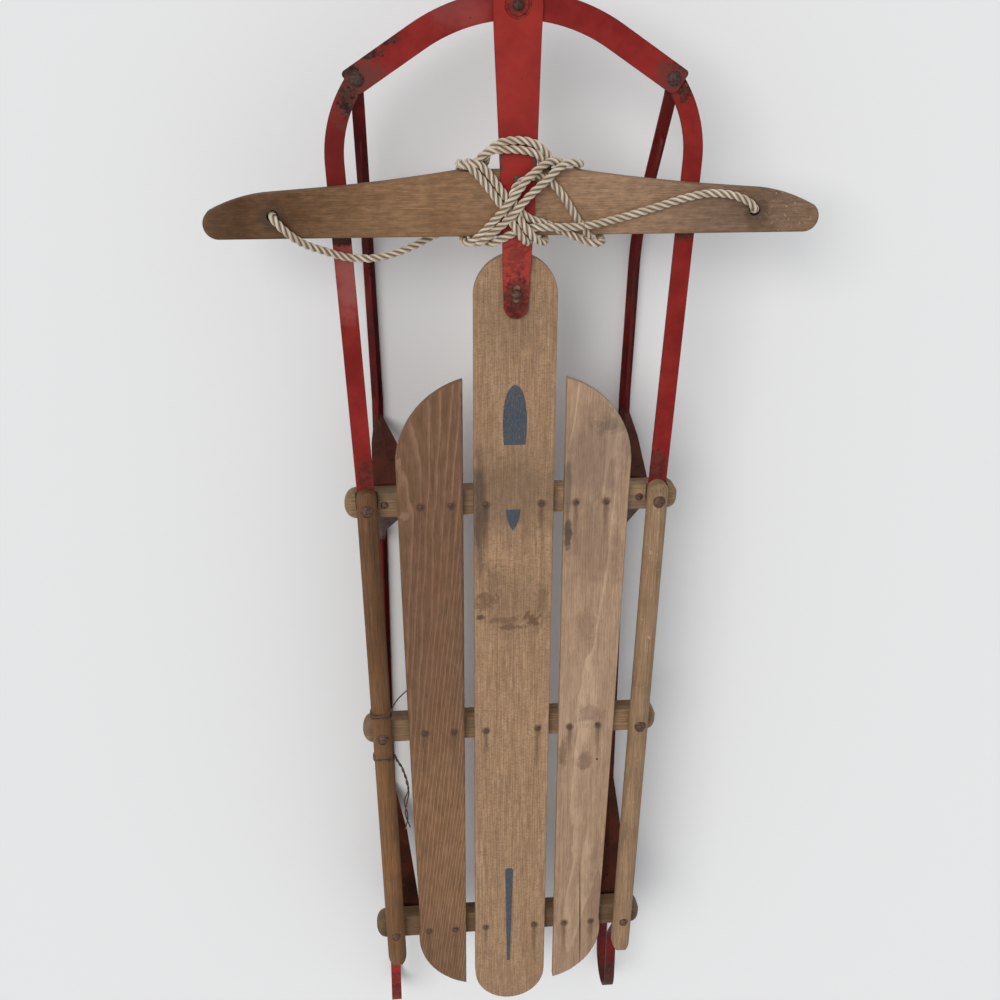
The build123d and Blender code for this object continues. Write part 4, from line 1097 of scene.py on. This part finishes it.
# %% Model one nail head and copy it
HEAD_RADIUS, HEAD_DEPTH = 2.3 * MM, 1.0 * MM
deselect()
bpy.ops.mesh.primitive_cylinder_add(vertices=20, radius=HEAD_RADIUS, depth=HEAD_DEPTH, location=(0, 0, 0))
nail = added("nail_head")
bpy.ops.object.mode_set(mode="EDIT")
sheet = bmesh.from_edit_mesh(nail.data)
for face in sheet.faces:
    face.select_set(face.normal.z > 0.9)
bmesh.update_edit_mesh(nail.data)
for inset, lift in ((0.5, 0.35), (0.6, 0.22), (0.6, 0.1)):
    bpy.ops.mesh.inset(thickness=inset * MM, depth=lift * MM)
bpy.ops.object.mode_set(mode="OBJECT")
pick(nail)
bpy.ops.object.shade_smooth_by_angle(angle=math.radians(50))
deck_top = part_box("slat_center")[1].z
copies = []
for row_index, row in enumerate(NAIL_ROWS):
    for column_index, column in enumerate((-104.0, -69.5, -31.0, 31.0, 69.5, 104.0)):
        pick(nail)
        bpy.ops.object.duplicate()
        copy = bpy.context.object
        slip = 1.2 * math.sin(3.7 * row_index + 5.3 * column_index)
        copy.location = (column * MM + slip * MM, row - slip * MM, deck_top + 0.1 * MM)
        copies.append(copy)
deselect()
for copy in copies:
    copy.select_set(True)
bpy.context.view_layer.objects.active = copies[0]
bpy.ops.object.join()
nails = settle(added("deck_nails"))
bpy.data.objects.remove(nail)
nails.data.materials.clear()
nails.data.materials.append(rust)
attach(nails, "frame")
print("nails:", len(copies), "faces", len(nails.data.polygons))

# %% [markdown]
# ## Wire ties
# Somebody has wound soft wire round the left rail. In front two turns lie side by side with a loose end.
# Behind one turn holds a tail of two wires twisted together, which lies along the gap beside the deck
# and splits at its end. Wire holds its bends, so each route has two points close to every corner.

# %% The wires
WIRE = 1.6 * MM
WIRE_GAP, WIRE_POINTS = 1.2 * MM, 8
RAIL_LOW, RAIL_TOP = 126.6, 146.4


def around(middle, y, step, half=12.2):
    """One turn round the rail, down the outside and back up inside, moving on by step."""
    inner, outer = middle + half, middle - half
    return [
        (inner - 2, y, RAIL_TOP), (outer + 2, y + step * 0.2, RAIL_TOP),
        (outer, y + step * 0.25, RAIL_TOP - 2), (outer, y + step * 0.45, RAIL_LOW + 2),
        (outer + 2, y + step * 0.5, RAIL_LOW),
        (inner - 2, y + step * 0.75, RAIL_LOW), (inner, y + step * 0.8, RAIL_LOW + 2),
        (inner, y + step, RAIL_TOP - 2),
    ]


def wire(name, points):
    line, length = follow(route(name + "_route", points), WIRE_GAP)
    piece = skin(name, line, lambda angle: WIRE / 2, 1.0, WIRE_POINTS)
    piece.data.materials.append(wire_rust)
    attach(piece, "frame")
    print(name, "length", round(length, 3))
    return piece


def twisted(points, part, turns, spread):
    """Points that wind round the straight runs between the given ones, for one wire of a pair."""
    wound, count = [], 9
    for index in range(len(points) - 1):
        a, b = Vector(points[index]), Vector(points[index + 1])
        for step in range(count):
            share = (index + step / count) / (len(points) - 1)
            angle = 2 * math.pi * turns * share + math.pi * part
            place = a.lerp(b, step / count)
            wound.append((place.x + spread * math.cos(angle), place.y, place.z + spread * math.sin(angle)))
    return wound


wire("wire_tie_front", [
    (-123.8, -117.3, 133.0), (-130.0, -122.0, 134.0), (-138.0, -129.0, 138.0), (-142.2, -135.0, 144.0),
    *around(-155.0, -140.8, -4.8), *around(-155.0, -145.6, -1.0), (-145.0, -147.0, RAIL_TOP + 0.4),
])
wire("wire_tie_rear", [
    *around(-153.3, -202.5, -1.6), (-143.0, -204.2, RAIL_TOP), (-148.0, -204.4, RAIL_TOP + 0.4),
])
TAIL = [(-141.0, -201.5, 137.0), (-138.2, -211.0, 133.5), (-132.1, -224.0, 131.5), (-127.6, -240.2, 130.3),
        (-124.8, -257.0, 129.2)]
wire("wire_tail_one", twisted(TAIL, 0, 3.5, 0.95) + [
    (-124.2, -262.0, 128.6), (-126.2, -272.5, 127.8), (-128.6, -284.0, 126.8), (-129.8, -294.0, 126.0),
    (-127.6, -304.0, 125.2), (-125.4, -310.5, 124.8), (-124.0, -315.5, 125.0)])
wire("wire_tail_two", twisted(TAIL, 1, 3.5, 0.95) + [
    (-126.2, -263.0, 128.2), (-130.4, -273.5, 127.2), (-130.0, -283.0, 126.2), (-127.0, -293.0, 124.4),
    (-126.2, -303.0, 123.2), (-128.2, -312.0, 123.2), (-130.3, -319.5, 123.6)])
